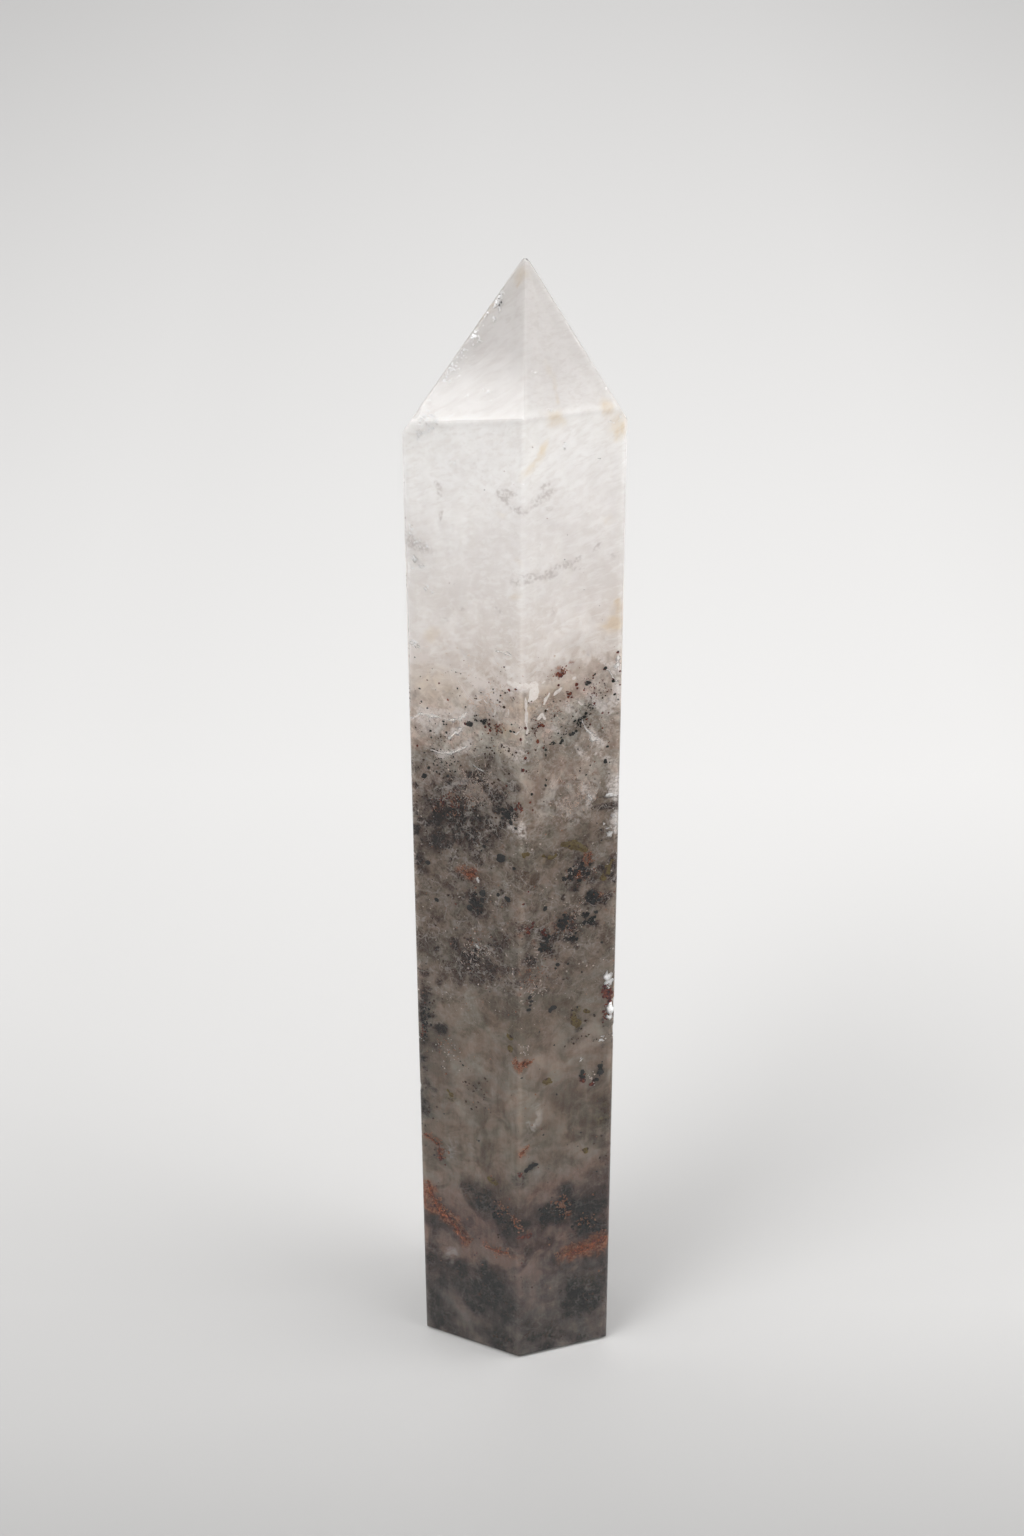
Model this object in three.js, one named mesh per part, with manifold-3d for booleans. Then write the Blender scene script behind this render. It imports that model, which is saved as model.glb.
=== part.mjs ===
// A garden quartz tower: one piece of quartz ground to six sides and a six-sided tip, then polished.
// The lapidary's way is followed here. A block is ground flat against one plane after another, every edge is
// eased, and the knocks that the edges have taken are broken out as shallow shell-shaped chips.
// Millimetres, +Z up. The tower stands on its sawn foot, with its front edge towards -Y.
import * as THREE from "three";
import { mergeVertices } from "three/addons/utils/BufferGeometryUtils.js";
import Module from "manifold-3d";

const wasm = await Module();
wasm.setup();

// Driving dimensions
const HEIGHT = 150; // foot to tip
const TIP = new THREE.Vector2(1.3, 0.1); // where the tip facets meet, seen from above
const EASED = 0.3; // width of the narrow flat along each polished edge
const EASED_FOOT = 0.5; // the same round the sawn foot
const SHORTEST_EASED = 1.2; // an edge shorter than this stays as it was ground

// The six sides, counted round from the front. facing is the compass direction that a side looks in: 0 is the
// front and 90 the right. foot and top are its distances from the axis at the foot and at the shoulder, and
// shoulder is the height at which its tip facet begins. turn is how far that facet looks past its side, and
// over is how far above the tip it runs, because six hand-ground facets never quite meet in a point.
const SIDES = {
  frontRight: { facing: 20, foot: 11.7, top: 12.5, shoulder: 135, turn: 0, over: 0 },
  right: { facing: 99.5, foot: 11.2, top: 11.7, shoulder: 132.8, turn: 1, over: 0.5 },
  backRight: { facing: 149, foot: 10.8, top: 11.7, shoulder: 131.6, turn: 4, over: 0.2 },
  backLeft: { facing: 203, foot: 11.3, top: 11.9, shoulder: 133.2, turn: -2, over: 0.4 },
  left: { facing: 258.5, foot: 10.65, top: 12, shoulder: 129.6, turn: -3, over: 0.4 },
  frontLeft: { facing: 332, foot: 10.5, top: 10.9, shoulder: 133.4, turn: -8, over: 0 },
};

// Chips knocked out of the edges. between names the two facets, at is how far up the edge the chip is (0 at its
// lower end), wide is its length along the edge, deep is how far it bites, and onto says which facet the flake
// ran out over: -1 the first, 1 the second, 0 both alike.
const CHIPS = [
  { between: ["leftTip", "frontLeftTip"], at: 0.75, wide: 1.7, deep: 0.35, onto: 0.3 },
  { between: ["leftTip", "frontLeftTip"], at: 0.68, wide: 1.2, deep: 0.3, onto: 0.6 },
  { between: ["leftTip", "frontLeftTip"], at: 0.55, wide: 2.4, deep: 0.45, onto: 0.8 },
  { between: ["leftTip", "frontLeftTip"], at: 0.34, wide: 1.2, deep: 0.25, onto: 0.2 },
  { between: ["leftTip", "frontLeftTip"], at: 0.28, wide: 1.4, deep: 0.3, onto: 0.5 },
  { between: ["leftTip", "frontLeftTip"], at: 0.06, wide: 1.8, deep: 0.35, onto: 0.4 },
  { between: ["frontLeft", "frontLeftTip"], at: 0.1, wide: 1.3, deep: 0.3, onto: 0.5 },
  { between: ["left", "frontLeft"], at: 0.87, wide: 2.8, deep: 0.45, onto: 0.6 },
  { between: ["left", "frontLeft"], at: 0.855, wide: 1.6, deep: 0.3, onto: 0.8 },
  { between: ["left", "frontLeft"], at: 0.72, wide: 1.2, deep: 0.2, onto: 0.1 },
  { between: ["left", "frontLeft"], at: 0.3, wide: 1.6, deep: 0.25, onto: -0.5 },
  { between: ["frontRight", "right"], at: 0.985, wide: 2.2, deep: 0.4, onto: -0.4 },
  { between: ["frontRight", "right"], at: 0.4, wide: 2.6, deep: 0.55, onto: -0.5 },
  { between: ["frontRight", "right"], at: 0.37, wide: 2.2, deep: 0.6, onto: -0.2 },
  { between: ["frontRight", "right"], at: 0.55, wide: 1.1, deep: 0.2, onto: 0.2 },
  { between: ["frontRight", "rightTip"], at: 0.4, wide: 1.7, deep: 0.4, onto: 0 },
  { between: ["rightTip", "frontRightTip"], at: 0.12, wide: 1.3, deep: 0.25, onto: 0.4 },
  { between: ["rightTip", "backRightTip"], at: 0.45, wide: 2, deep: 0.4, onto: 0.3 },
  { between: ["backLeftTip", "leftTip"], at: 0.3, wide: 1.5, deep: 0.3, onto: -0.3 },
  { between: ["right", "backRight"], at: 0.74, wide: 2.4, deep: 0.45, onto: -0.4 },
  { between: ["backLeft", "left"], at: 0.22, wide: 2, deep: 0.4, onto: 0.5 },
  { between: ["backRight", "foot"], at: 0.6, wide: 2.2, deep: 0.4, onto: 0.1 },
  { between: ["frontLeft", "foot"], at: 0.2, wide: 1.8, deep: 0.3, onto: -0.3 },
];
const TIP_CHIP = { facing: 300, lean: 50, wide: 0.9, deep: 0.2 }; // the flake gone from the very point
// Finer nicks on every edge. deep is a share of wide, and onto reaches this far either way.
const NICKS = { apart: 14, wide: [0.4, 1], deep: 0.2, onto: 0.7 };
const UNEVEN = 0.035; // how far a chip's hollow departs from a true ball, as a share of its radius
const FINENESS = { chip: 3, nick: 2 }; // how finely the ball is divided

const UP = new THREE.Vector3(0, 0, 1);

// A plane to grind to: the stone keeps what lies below offset along normal.
const plane = (normal, offset) => ({ normal, offset });

const planeThrough = (normal, point) => plane(normal, normal.dot(point));

// The direction that faces a compass point and leans back from the upright by an angle, both in degrees.
function looking(facing, lean) {
  const [around, back] = [facing, lean].map(THREE.MathUtils.degToRad);
  const level = Math.cos(back);
  return new THREE.Vector3(Math.sin(around) * level, -Math.cos(around) * level, Math.sin(back));
}

const onSide = (facing, distance, height) => looking(facing, 0).multiplyScalar(distance).setZ(height);

// An upright side. It leans out a little, because the tower widens upwards.
function sidePlane({ facing, foot, top, shoulder }) {
  const lean = THREE.MathUtils.radToDeg(Math.atan2(foot - top, shoulder));
  return planeThrough(looking(facing, lean), onSide(facing, foot, 0));
}

// The tip facet above a side, from its shoulder up to the tip.
function tipPlane({ facing, top, shoulder, turn, over }) {
  const tip = new THREE.Vector3(TIP.x, TIP.y, HEIGHT + over);
  const start = onSide(facing, top, shoulder);
  const run = looking(facing + turn, 0).dot(start.clone().sub(tip));
  const lean = THREE.MathUtils.radToDeg(Math.atan2(run, tip.z - start.z));
  return planeThrough(looking(facing + turn, lean), tip);
}

const facets = { foot: plane(UP.clone().negate(), 0) };
for (const [name, side] of Object.entries(SIDES)) {
  facets[name] = sidePlane(side);
  facets[name + "Tip"] = tipPlane(side);
}

// The point that three planes share, or null where two of them run alike.
function corner(a, b, c) {
  const normals = new THREE.Matrix3().set(...a.normal, ...b.normal, ...c.normal);
  if (Math.abs(normals.determinant()) < 1e-6) return null;
  return new THREE.Vector3(a.offset, b.offset, c.offset).applyMatrix3(normals.invert());
}

// The lower and upper end of the edge between two facets of the sharp stone, or null where they don't meet.
function edgeEnds(a, b) {
  const planes = Object.values(facets);
  const inside = (point) => point && planes.every((each) => each.normal.dot(point) < each.offset + 1e-6);
  const others = planes.filter((each) => each !== a && each !== b);
  const ends = others.map((other) => corner(a, b, other)).filter(inside);
  if (ends.length < 2) return null;
  ends.sort((p, q) => p.z - q.z || p.x - q.x);
  return [ends[0], ends.at(-1)];
}

const edges = [];
const names = Object.keys(facets);
names.forEach((first, i) => {
  for (const second of names.slice(i + 1)) {
    const ends = edgeEnds(facets[first], facets[second]);
    if (ends && ends[0].distanceTo(ends[1]) > SHORTEST_EASED) edges.push({ between: [first, second], ends });
  }
});

function toSolid(geometry) {
  geometry.deleteAttribute("normal");
  geometry.deleteAttribute("uv");
  const { attributes, index } = mergeVertices(geometry, 1e-4);
  const vertProperties = attributes.position.array;
  const triVerts = new Uint32Array(index.array);
  return new wasm.Manifold(new wasm.Mesh({ numProp: 3, vertProperties, triVerts }));
}

// All that lies above a plane, as far as a block of this size reaches.
const WASTE = 3 * HEIGHT;
function above({ normal, offset }) {
  const block = new THREE.BoxGeometry(WASTE, WASTE, WASTE).translate(0, 0, WASTE / 2 + offset);
  return toSolid(block.applyQuaternion(new THREE.Quaternion().setFromUnitVectors(UP, normal)));
}

// The narrow flat that eases an edge.
function easedPlane({ between, ends }) {
  const [a, b] = between.map((name) => facets[name].normal);
  const width = between.includes("foot") ? EASED_FOOT : EASED;
  const out = a.clone().add(b).normalize();
  const depth = (width / 2) * Math.tan(a.angleTo(b) / 2);
  return plane(out, out.dot(ends[0]) - depth);
}

// Random numbers from 0 to 1, the same ones each time.
function evenRandom(seed) {
  let state = seed;
  return () => {
    state = (state * 16807) % 2147483647;
    return state / 2147483647;
  };
}
const random = evenRandom(7);

// What a knock breaks out: a large lump whose round side leaves a shallow shell-shaped hollow, not quite a
// ball's, so that no two hollows are alike.
function flake(point, out, { wide, deep }, fineness) {
  const radius = wide ** 2 / (8 * deep) + deep / 2;
  const phase = [random(), random(), random()].map((value) => value * 2 * Math.PI);
  const lump = new THREE.IcosahedronGeometry(radius, fineness);
  const { position } = lump.attributes;
  const v = new THREE.Vector3();
  for (let i = 0; i < position.count; i++) {
    v.fromBufferAttribute(position, i).divideScalar(radius);
    const waves = Math.sin(5 * v.x + phase[0]) + Math.sin(6 * v.y + phase[1]) + Math.sin(4 * v.z + phase[2]);
    v.multiplyScalar(radius * (1 + UNEVEN * waves));
    position.setXYZ(i, v.x, v.y, v.z);
  }
  const centre = point.clone().addScaledVector(out, radius - deep);
  return toSolid(lump.translate(...centre));
}

function edgeFlake({ between, at, onto, ...size }, fineness) {
  const { ends } = edges.find((each) => between.every((name) => each.between.includes(name)));
  const [first, second] = between.map((name) => facets[name].normal);
  const out = first.clone().lerp(second, (1 + onto) / 2).normalize();
  return flake(ends[0].clone().lerp(ends[1], at), out, size, fineness);
}

// Grinding
let stone = toSolid(new THREE.BoxGeometry(WASTE, WASTE, WASTE));
const ground = [...Object.values(facets), ...edges.map(easedPlane)];
for (const facet of ground) stone = stone.subtract(above(facet));

// Knocks
for (const chip of CHIPS) stone = stone.subtract(edgeFlake(chip, FINENESS.chip));
for (const { between, ends } of edges) {
  const count = Math.round(ends[0].distanceTo(ends[1]) / NICKS.apart);
  for (let i = 0; i < count; i++) {
    const at = (i + random()) / count;
    const wide = THREE.MathUtils.lerp(...NICKS.wide, random());
    const onto = NICKS.onto * (2 * random() - 1);
    const nick = { between, at, wide, deep: wide * NICKS.deep, onto };
    stone = stone.subtract(edgeFlake(nick, FINENESS.nick));
  }
}
const tip = new THREE.Vector3(TIP.x, TIP.y, HEIGHT);
const tipOut = looking(TIP_CHIP.facing, TIP_CHIP.lean);
stone = stone.subtract(flake(tip, tipOut, TIP_CHIP, FINENESS.chip));

const { vertProperties, triVerts } = stone.getMesh();
const geometry = new THREE.BufferGeometry();
geometry.setAttribute("position", new THREE.BufferAttribute(vertProperties, 3));
geometry.setIndex(new THREE.BufferAttribute(triVerts, 1));

// The origin is on the foot, under the middle of the stone.
geometry.computeBoundingBox();
const { min, max } = geometry.boundingBox;
geometry.translate(-(min.x + max.x) / 2, -(min.y + max.y) / 2, -min.z);
geometry.computeVertexNormals();

const quartz = new THREE.MeshStandardMaterial({
  name: "polished garden quartz",
  color: 0xb5aea8,
  roughness: 0.06,
  metalness: 0,
  flatShading: true,
});
const tower = new THREE.Mesh(geometry, quartz);
tower.name = "quartz_tower";

const group = new THREE.Group();
group.add(tower);
export default group;
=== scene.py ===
import math

import bmesh
import bpy
import numpy as np
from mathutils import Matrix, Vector, noise


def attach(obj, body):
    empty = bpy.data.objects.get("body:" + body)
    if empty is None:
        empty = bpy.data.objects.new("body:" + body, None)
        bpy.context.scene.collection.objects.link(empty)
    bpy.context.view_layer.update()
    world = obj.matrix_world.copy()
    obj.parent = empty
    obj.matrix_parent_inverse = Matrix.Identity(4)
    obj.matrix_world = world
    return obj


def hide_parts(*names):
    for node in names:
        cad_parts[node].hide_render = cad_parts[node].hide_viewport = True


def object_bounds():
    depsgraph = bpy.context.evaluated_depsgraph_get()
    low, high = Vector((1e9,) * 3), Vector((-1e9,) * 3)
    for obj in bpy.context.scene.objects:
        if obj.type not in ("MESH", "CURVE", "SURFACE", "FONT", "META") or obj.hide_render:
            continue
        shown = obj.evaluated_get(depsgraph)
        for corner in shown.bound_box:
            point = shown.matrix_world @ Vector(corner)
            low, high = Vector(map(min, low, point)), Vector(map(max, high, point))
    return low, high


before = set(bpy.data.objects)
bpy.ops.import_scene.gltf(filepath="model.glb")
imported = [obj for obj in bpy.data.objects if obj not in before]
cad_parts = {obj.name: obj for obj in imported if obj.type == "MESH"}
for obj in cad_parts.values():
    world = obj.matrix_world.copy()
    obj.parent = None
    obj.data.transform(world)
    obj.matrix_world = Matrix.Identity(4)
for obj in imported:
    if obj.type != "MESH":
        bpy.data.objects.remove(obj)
CAD_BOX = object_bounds()

# A garden quartz tower: one crystal, ground and polished, with what it grew around still inside it.
# Lengths are millimetres until a mesh is made. up is the height above the sawn foot, across is to the
# right of the middle as the front is seen, depth is how far in from the polished skin, and facing is the
# compass direction out of the stone in degrees: 0 is the front and 90 the right. lean is how far a
# thing's upright axis leans over to the right, in degrees.
MM = 0.001
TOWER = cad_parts["quartz_tower"]
HEIGHT = CAD_BOX[1][2] / MM
SHOULDER = 131.0
QUARTZ_IOR = 1.544
# The compass directions between which the photograph doesn't show the stone
HIDDEN_SIDES = (64, 286)
# How sharp the corners stay where a shape follows the skin: the higher, the sharper
CORNERS = 160
# How far in the painted spots and strokes, the single grains and the strands of the front lie, and the
# least room that anything keeps under the skin
SPOT_DEPTH = 0.7
STROKE_DEPTH = 0.4
GRAIN_DEPTH = 0.15
STRAND_DEPTH = 0.16
LEAST_ROOM = 0.03

# The photograph's camera: where it stood, how many degrees it looked down, and its lens on a 36 mm frame
CAMERA_AT = np.array([-0.24, -339.74, 254.19])
CAMERA_DOWN = 26.7
CAMERA_LENS = 70.3

# The cloudy heart lies this far under the skin along the stone's edges, and this far in the middle of a
# side, where it is lumpy and goes up to so much deeper.
HEART_DEPTH_AT_EDGE = 0.14
HEART_DEPTH = 0.45
HEART_DEEPER = 0.9
# The phantom is the old face of the crystal where the milky growth began. It runs up to the right, and
# wanders up and down by so many mm.
PHANTOM_RISE = 0.28
PHANTOM_SWAY = 2.2

rng = np.random.default_rng(7)

# How things look under the polished skin: the light there, how much of what comes back the skin catches
# and sends in again, and the gloss over it all.
LIGHT_INSIDE = 0.87
CAUGHT = 0.6
GLOSS = 0.03


def linear(hex_colour):
    """An sRGB hex colour as the linear RGBA that Blender works in."""
    channels = [int(hex_colour[i : i + 2], 16) / 255 for i in (0, 2, 4)]
    curved = [c / 12.92 if c <= 0.04045 else ((c + 0.055) / 1.055) ** 2.4 for c in channels]
    return (*curved, 1.0)


def under_skin(hex_colour):
    """The colour that a thing inside the stone needs to look like the hex colour from outside. The skin
    darkens it, as water darkens a pebble."""
    shown = [max(0.0, c - GLOSS) / LIGHT_INSIDE for c in linear(hex_colour)[:3]]
    return (*[min(1.0, c / (1 - CAUGHT + CAUGHT * c)) for c in shown], 1.0)


def add(tree, kind, inputs=None, out=0, **settings):
    """Adds a node with its settings, sets or links its inputs, and returns one of its outputs."""
    node = tree.nodes.new(kind)
    for name, value in settings.items():
        setattr(node, name, value)
    for name, value in (inputs or {}).items():
        if isinstance(value, bpy.types.NodeSocket):
            tree.links.new(value, node.inputs[name])
        else:
            node.inputs[name].default_value = value
    return node.outputs[out] if len(node.outputs) else None


def unit(vector):
    """The vector made 1 long."""
    return vector / np.linalg.norm(vector)


# The stone's shape, read from its solid. Triangles whose normals agree this well lie on one facet, and a
# facet is larger than so many square mm. The smaller ones are chips and eased edges.
ONE_FACET = 0.9995
SMALLEST_FACET = 40.0


def read_facets(node):
    """The outward normals of the node's flat facets, and their distances from the origin."""
    polygons = node.data.polygons
    normals, centres, areas = (np.zeros(len(polygons) * parts) for parts in (3, 3, 1))
    polygons.foreach_get("normal", normals)
    polygons.foreach_get("center", centres)
    polygons.foreach_get("area", areas)
    normals, centres = normals.reshape(-1, 3), centres.reshape(-1, 3) / MM
    found = []
    for i in np.argsort(-areas):
        if any(normals[i] @ normal > ONE_FACET for normal, _ in found):
            continue
        alike = normals @ normals[i] > ONE_FACET
        if areas[alike].sum() > SMALLEST_FACET * MM**2:
            found.append((unit(normals[i]), centres[i] @ normals[i]))
    return np.array([normal for normal, _ in found]), np.array([distance for _, distance in found])


NORMALS, OFFSETS = read_facets(TOWER)
IN_TIP = NORMALS[:, 2] > 0.3
APEX = np.linalg.lstsq(NORMALS[IN_TIP], OFFSETS[IN_TIP], rcond=None)[0]


def skin(facing, up, depth):
    """Points depth mm under the skin in each compass direction."""
    facing, up, depth = np.broadcast_arrays(np.radians(facing), up, depth)
    out = np.stack([np.sin(facing), -np.cos(facing)], -1)
    into_tip = np.clip((up - SHOULDER) / (APEX[2] - SHOULDER), 0, 1)[..., None]
    middle = np.concatenate([into_tip * APEX[:2], up[..., None]], -1)
    reach = out @ NORMALS[:, :2].T
    room = OFFSETS - depth[..., None] - middle @ NORMALS.T
    inverse = np.where(reach > 1e-4, reach / np.maximum(room, 1e-3), 0)
    most = inverse.max(-1, keepdims=True)
    radius = ((inverse / most) ** CORNERS).sum(-1) ** (-1 / CORNERS) / most[..., 0]
    return middle + np.concatenate([out * radius[..., None], np.zeros_like(up)[..., None]], -1)


def wander(points, size, offset=0.0):
    """Smooth noise from -1 to 1 at each point, with lumps of about size mm."""
    flat = np.asarray(points).reshape(-1, 3)
    values = [noise.noise(Vector(point / size + offset)) for point in flat]
    return np.array(values).reshape(np.shape(points)[:-1])


def heart_depth(points):
    """How far under the skin the cloudy heart begins: it is nearest at the edges and lumpy between
    them."""
    lumps = np.clip(0.4 + 1.1 * wander(points, 6.0, 31.0) + 0.6 * wander(points, 2.2, 7.0), 0, 1)
    from_edge = np.partition(OFFSETS - points @ NORMALS.T, 1, axis=-1)[..., 1]
    near = np.clip(from_edge / 1.2, 0, 1)
    middle = np.clip(from_edge / 3.0 - 0.3, 0, 1) * np.clip((SHOULDER - points[..., 2]) / 8.0, 0, 1)
    return HEART_DEPTH_AT_EDGE + (HEART_DEPTH - HEART_DEPTH_AT_EDGE) * near + HEART_DEEPER * lumps * middle


# A place is a centre and three axes: to the side, upwards and into the stone.
def turned(side, rise, inner, lean):
    """The three axes, leant over by lean degrees."""
    turn = math.radians(lean)
    leaning_side = math.cos(turn) * side - math.sin(turn) * rise
    leaning_rise = math.sin(turn) * side + math.cos(turn) * rise
    return np.array([leaning_side, leaning_rise, inner])


def seen(across, up, depth, lean=0.0):
    """The place of a thing that shows at across and up on the front of the stone, depth mm in along the
    line of sight, which bends where it enters the quartz."""
    front = NORMALS[:, 1] < -0.05
    normals = NORMALS[front]
    skin_y = (OFFSETS[front] - normals[:, 0] * across - normals[:, 2] * up) / normals[:, 1]
    first = np.argmax(skin_y)
    point = np.array([across, skin_y[first], up])
    normal = normals[first]
    look = unit(point - CAMERA_AT)
    cosine = -look @ normal
    bend = 1 / QUARTZ_IOR
    inner = bend * look + (bend * cosine - math.sqrt(1 - bend**2 * (1 - cosine**2))) * normal
    side = unit(np.cross(-normal, (0, 0, 1)))
    return point + depth * inner, turned(side, np.cross(side, -normal), -normal, lean)


def hidden(facing, up, depth, lean=0.0):
    """The place of a thing depth mm under the skin in the given compass direction."""
    point = skin(facing, np.float64(up), 0.0)
    normal = NORMALS[np.argmin(OFFSETS - point @ NORMALS.T)]
    side = unit(np.cross(-normal, (0, 0, 1)))
    return point - depth * normal, turned(side, np.cross(side, -normal), -normal, lean)


def inside(points, room):
    """Whether all the points lie in the stone, at least room mm under its skin."""
    return bool((points @ NORMALS.T < OFFSETS - room).all()) and points[:, 2].min() > room


def held(points, spots):
    """How much of the spots each point holds, from 0 to their strength. A spot is an ellipsoid with a
    soft edge."""
    most = np.zeros(len(points))
    for (centre, axes), size, strength in spots:
        near = np.abs(points[:, 2] - centre[2]) < max(size)
        local = (points[near] - centre) @ axes.T / (np.array(size) / 2)
        most[near] = np.maximum(most[near], strength * np.clip(1.5 - np.linalg.norm(local, axis=1), 0, 1))
    return most


def stroke(path, width, strength, step=0.2):
    """Uneven spots strewn along a path of (across, up) seen from the front, each drawn out along it."""
    path = np.array(path, float)
    along = np.concatenate([[0], np.cumsum(np.hypot(*np.diff(path, axis=0).T))])
    spots = []
    for t in rng.uniform(0, along[-1], int(along[-1] / step) + 2):
        i = np.searchsorted(along[1:-1], t)
        ahead = path[i + 1] - path[i]
        size = width * rng.uniform(0.4, 1.5)
        further = ahead * (t - along[i]) / (along[i + 1] - along[i])
        across, up = path[i] + further + rng.normal(size=2) * 0.28 * width
        lean = math.degrees(math.atan2(*ahead)) + rng.normal() * 12
        place = seen(across, up, STROKE_DEPTH, lean)
        spots.append((place, (0.7 * size, 1.7 * size, 3.0), strength * rng.uniform(0.35, 1.1)))
    return spots


def tufts_of(spot):
    """The small uneven tufts that a big spot is made of."""
    (centre, axes), (wide, high, thick), strength = spot
    tufts = []
    for _ in range(int(wide * high / 1.6) + 3):
        size = rng.uniform(0.7, 0.7 + 0.35 * min(wide, high))
        at = centre + (rng.normal(size=2) * 0.3 * (wide, high)) @ axes[:2]
        leant = turned(*axes, rng.uniform(-90, 90))
        tall = size * rng.uniform(0.5, 1.2)
        tufts.append(((at, leant), (size, tall, thick), strength * rng.uniform(0.35, 1.1)))
    return tufts + [((centre, axes), (0.8 * wide, 0.8 * high, thick), 0.45 * strength)]


# Meshes
def make_piece(name, points, faces, material, smooth=True):
    """A mesh piece inside the stone, from points in mm."""
    mesh = bpy.data.meshes.new(name)
    mesh.from_pydata((np.asarray(points) * MM).tolist(), [], faces)
    mesh.validate()
    mesh.update()
    mesh.polygons.foreach_set("use_smooth", [smooth] * len(mesh.polygons))
    mesh.materials.append(material)
    piece = bpy.data.objects.new(name, mesh)
    bpy.context.scene.collection.objects.link(piece)
    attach(piece, "root")
    return piece


def closed_lattice(rows, columns):
    """The faces of a closed tube of rows by columns points, with a flat cap on both ends."""
    faces = [tuple(range(columns - 1, -1, -1))]
    for i in range(rows - 1):
        for j in range(columns):
            right = (j + 1) % columns
            low, top = i * columns, (i + 1) * columns
            faces.append((low + j, low + right, top + right, top + j))
    faces.append(tuple(range((rows - 1) * columns, rows * columns)))
    return faces


def join_parts(parts):
    """Joins (points, faces) parts into one, without those that would break through the skin."""
    points, faces, start = [], [], 0
    for part_points, part_faces in parts:
        if inside(part_points, LEAST_ROOM):
            points.append(part_points)
            faces += [[start + i for i in face] for face in part_faces]
            start += len(part_points)
    return np.concatenate(points), faces


def patch(place, wide, high, thick, ragged, spokes=12, rings=2):
    """A thin ragged lens that lies along the skin: a film, flake or stain. Its body is closed."""
    centre, axes = place
    seed = Vector(rng.uniform(0, 100, 3))
    angles = np.linspace(0, 2 * math.pi, spokes, endpoint=False)
    outline = []
    for angle in angles:
        way = Vector((math.cos(angle), math.sin(angle), 0))
        coarse, fine = noise.noise(way * 1.3 + seed), noise.noise(way * 4.0 + seed)
        outline.append(max(0.3, 1 + ragged * (1.2 * coarse + 0.9 * fine)))
    outline = np.array(outline)
    local = [(0, 0, -1.0)]
    shares = [(i + 1) / rings for i in range(rings)]
    for side in (-1, 1):
        for share in shares if side < 0 else shares[-2::-1]:
            swell = side * math.sqrt(max(0.0, 1 - share**2))
            for reach, angle in zip(outline, angles):
                local.append((share * reach * math.cos(angle), share * reach * math.sin(angle), swell))
    local.append((0, 0, 1.0))
    local = np.array(local) * (wide / 2, high / 2, thick / 2)
    local[:, 2] += 0.06 * wander(local / max(wide, high) * 3 + np.array(seed), 1.0)
    bands = 2 * rings - 1
    faces = [(0, 1 + (j + 1) % spokes, 1 + j) for j in range(spokes)]
    for i in range(bands - 1):
        low, top = 1 + i * spokes, 1 + (i + 1) * spokes
        faces += [(low + j, low + (j + 1) % spokes, top + (j + 1) % spokes, top + j) for j in range(spokes)]
    last = 1 + (bands - 1) * spokes
    faces += [(last + j, last + (j + 1) % spokes, last + spokes) for j in range(spokes)]
    return centre + local @ axes, faces


def vein(path, width, ragged, step=0.12):
    """A thin crooked strand along a path of (across, up) seen from the front. Its body is closed."""
    path = np.array(path, float)
    lengths = np.hypot(*np.diff(path, axis=0).T)
    along = np.concatenate([[0], np.cumsum(lengths)])
    count = max(5, int(along[-1] / step))
    t = np.linspace(0, along[-1], count)
    line = np.stack([np.interp(t, along, path[:, i]) for i in (0, 1)], -1)
    seed = rng.uniform(0, 100, 3)
    at = np.concatenate([line, np.zeros((count, 1))], -1) + seed
    line += ragged * min(0.6 * width, 0.2) * np.stack([wander(at, 0.6), wander(at + 40, 0.6)], -1)
    taper = np.sin(np.linspace(0.12, math.pi - 0.12, count)) ** 0.4
    widths = width * taper * np.clip(1 + 1.6 * ragged * wander(at + 80, 0.5), 0.25, 2)
    rings = []
    for (across, up), ahead, wide in zip(line, np.gradient(line, axis=0), widths):
        centre, axes = seen(across, up, STRAND_DEPTH)
        way = ahead / np.hypot(*ahead)
        over = -way[1] * axes[0] + way[0] * axes[1]
        half, thick = wide / 2, min(wide, 0.12) / 2
        aside, inwards = half * over, thick * axes[2]
        rings += [centre + aside, centre + inwards, centre - aside, centre - inwards]
    faces = []
    for i in range(count - 1):
        faces += [(4 * i + j, 4 * i + (j + 1) % 4, 4 * i + 4 + (j + 1) % 4, 4 * i + 4 + j) for j in range(4)]
    faces += [(3, 2, 1, 0), tuple(4 * count - 4 + j for j in range(4))]
    return np.array(rings), faces


def trail(path, width, count):
    """Places strewn along a path of (across, up)."""
    path = np.array(path, float)
    along = np.concatenate([[0], np.cumsum(np.hypot(*np.diff(path, axis=0).T))])
    t = rng.uniform(-0.2, along[-1] + 0.2, count)
    line = np.stack([np.interp(t, along, path[:, i]) for i in (0, 1)], -1)
    return (line + rng.normal(size=(count, 2)) * width * 0.4).tolist()


def grain_shape():
    """The points and faces of a round grain 1 across."""
    edit = bmesh.new()
    bmesh.ops.create_icosphere(edit, subdivisions=1, radius=0.5)
    points = np.array([v.co[:] for v in edit.verts])
    faces = np.array([[v.index for v in f.verts] for f in edit.faces])
    edit.free()
    return points, faces


GRAIN_POINTS, GRAIN_FACES = grain_shape()


def grains(places, sizes, shape=(1, 1, 0.7), uneven=0.2):
    """Uneven grains, one at each place, each turned at random."""
    turns, _ = np.linalg.qr(rng.normal(size=(len(places), 3, 3)))
    bumps = 1 + uneven * rng.normal(size=(len(places), len(GRAIN_POINTS), 1)).clip(-1.5, 1.5)
    points = places[:, None] + (GRAIN_POINTS * shape * bumps * sizes[:, None, None]) @ turns
    faces = GRAIN_FACES + len(GRAIN_POINTS) * np.arange(len(places))[:, None, None]
    return points.reshape(-1, 3), faces.reshape(-1, 3).tolist()


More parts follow.
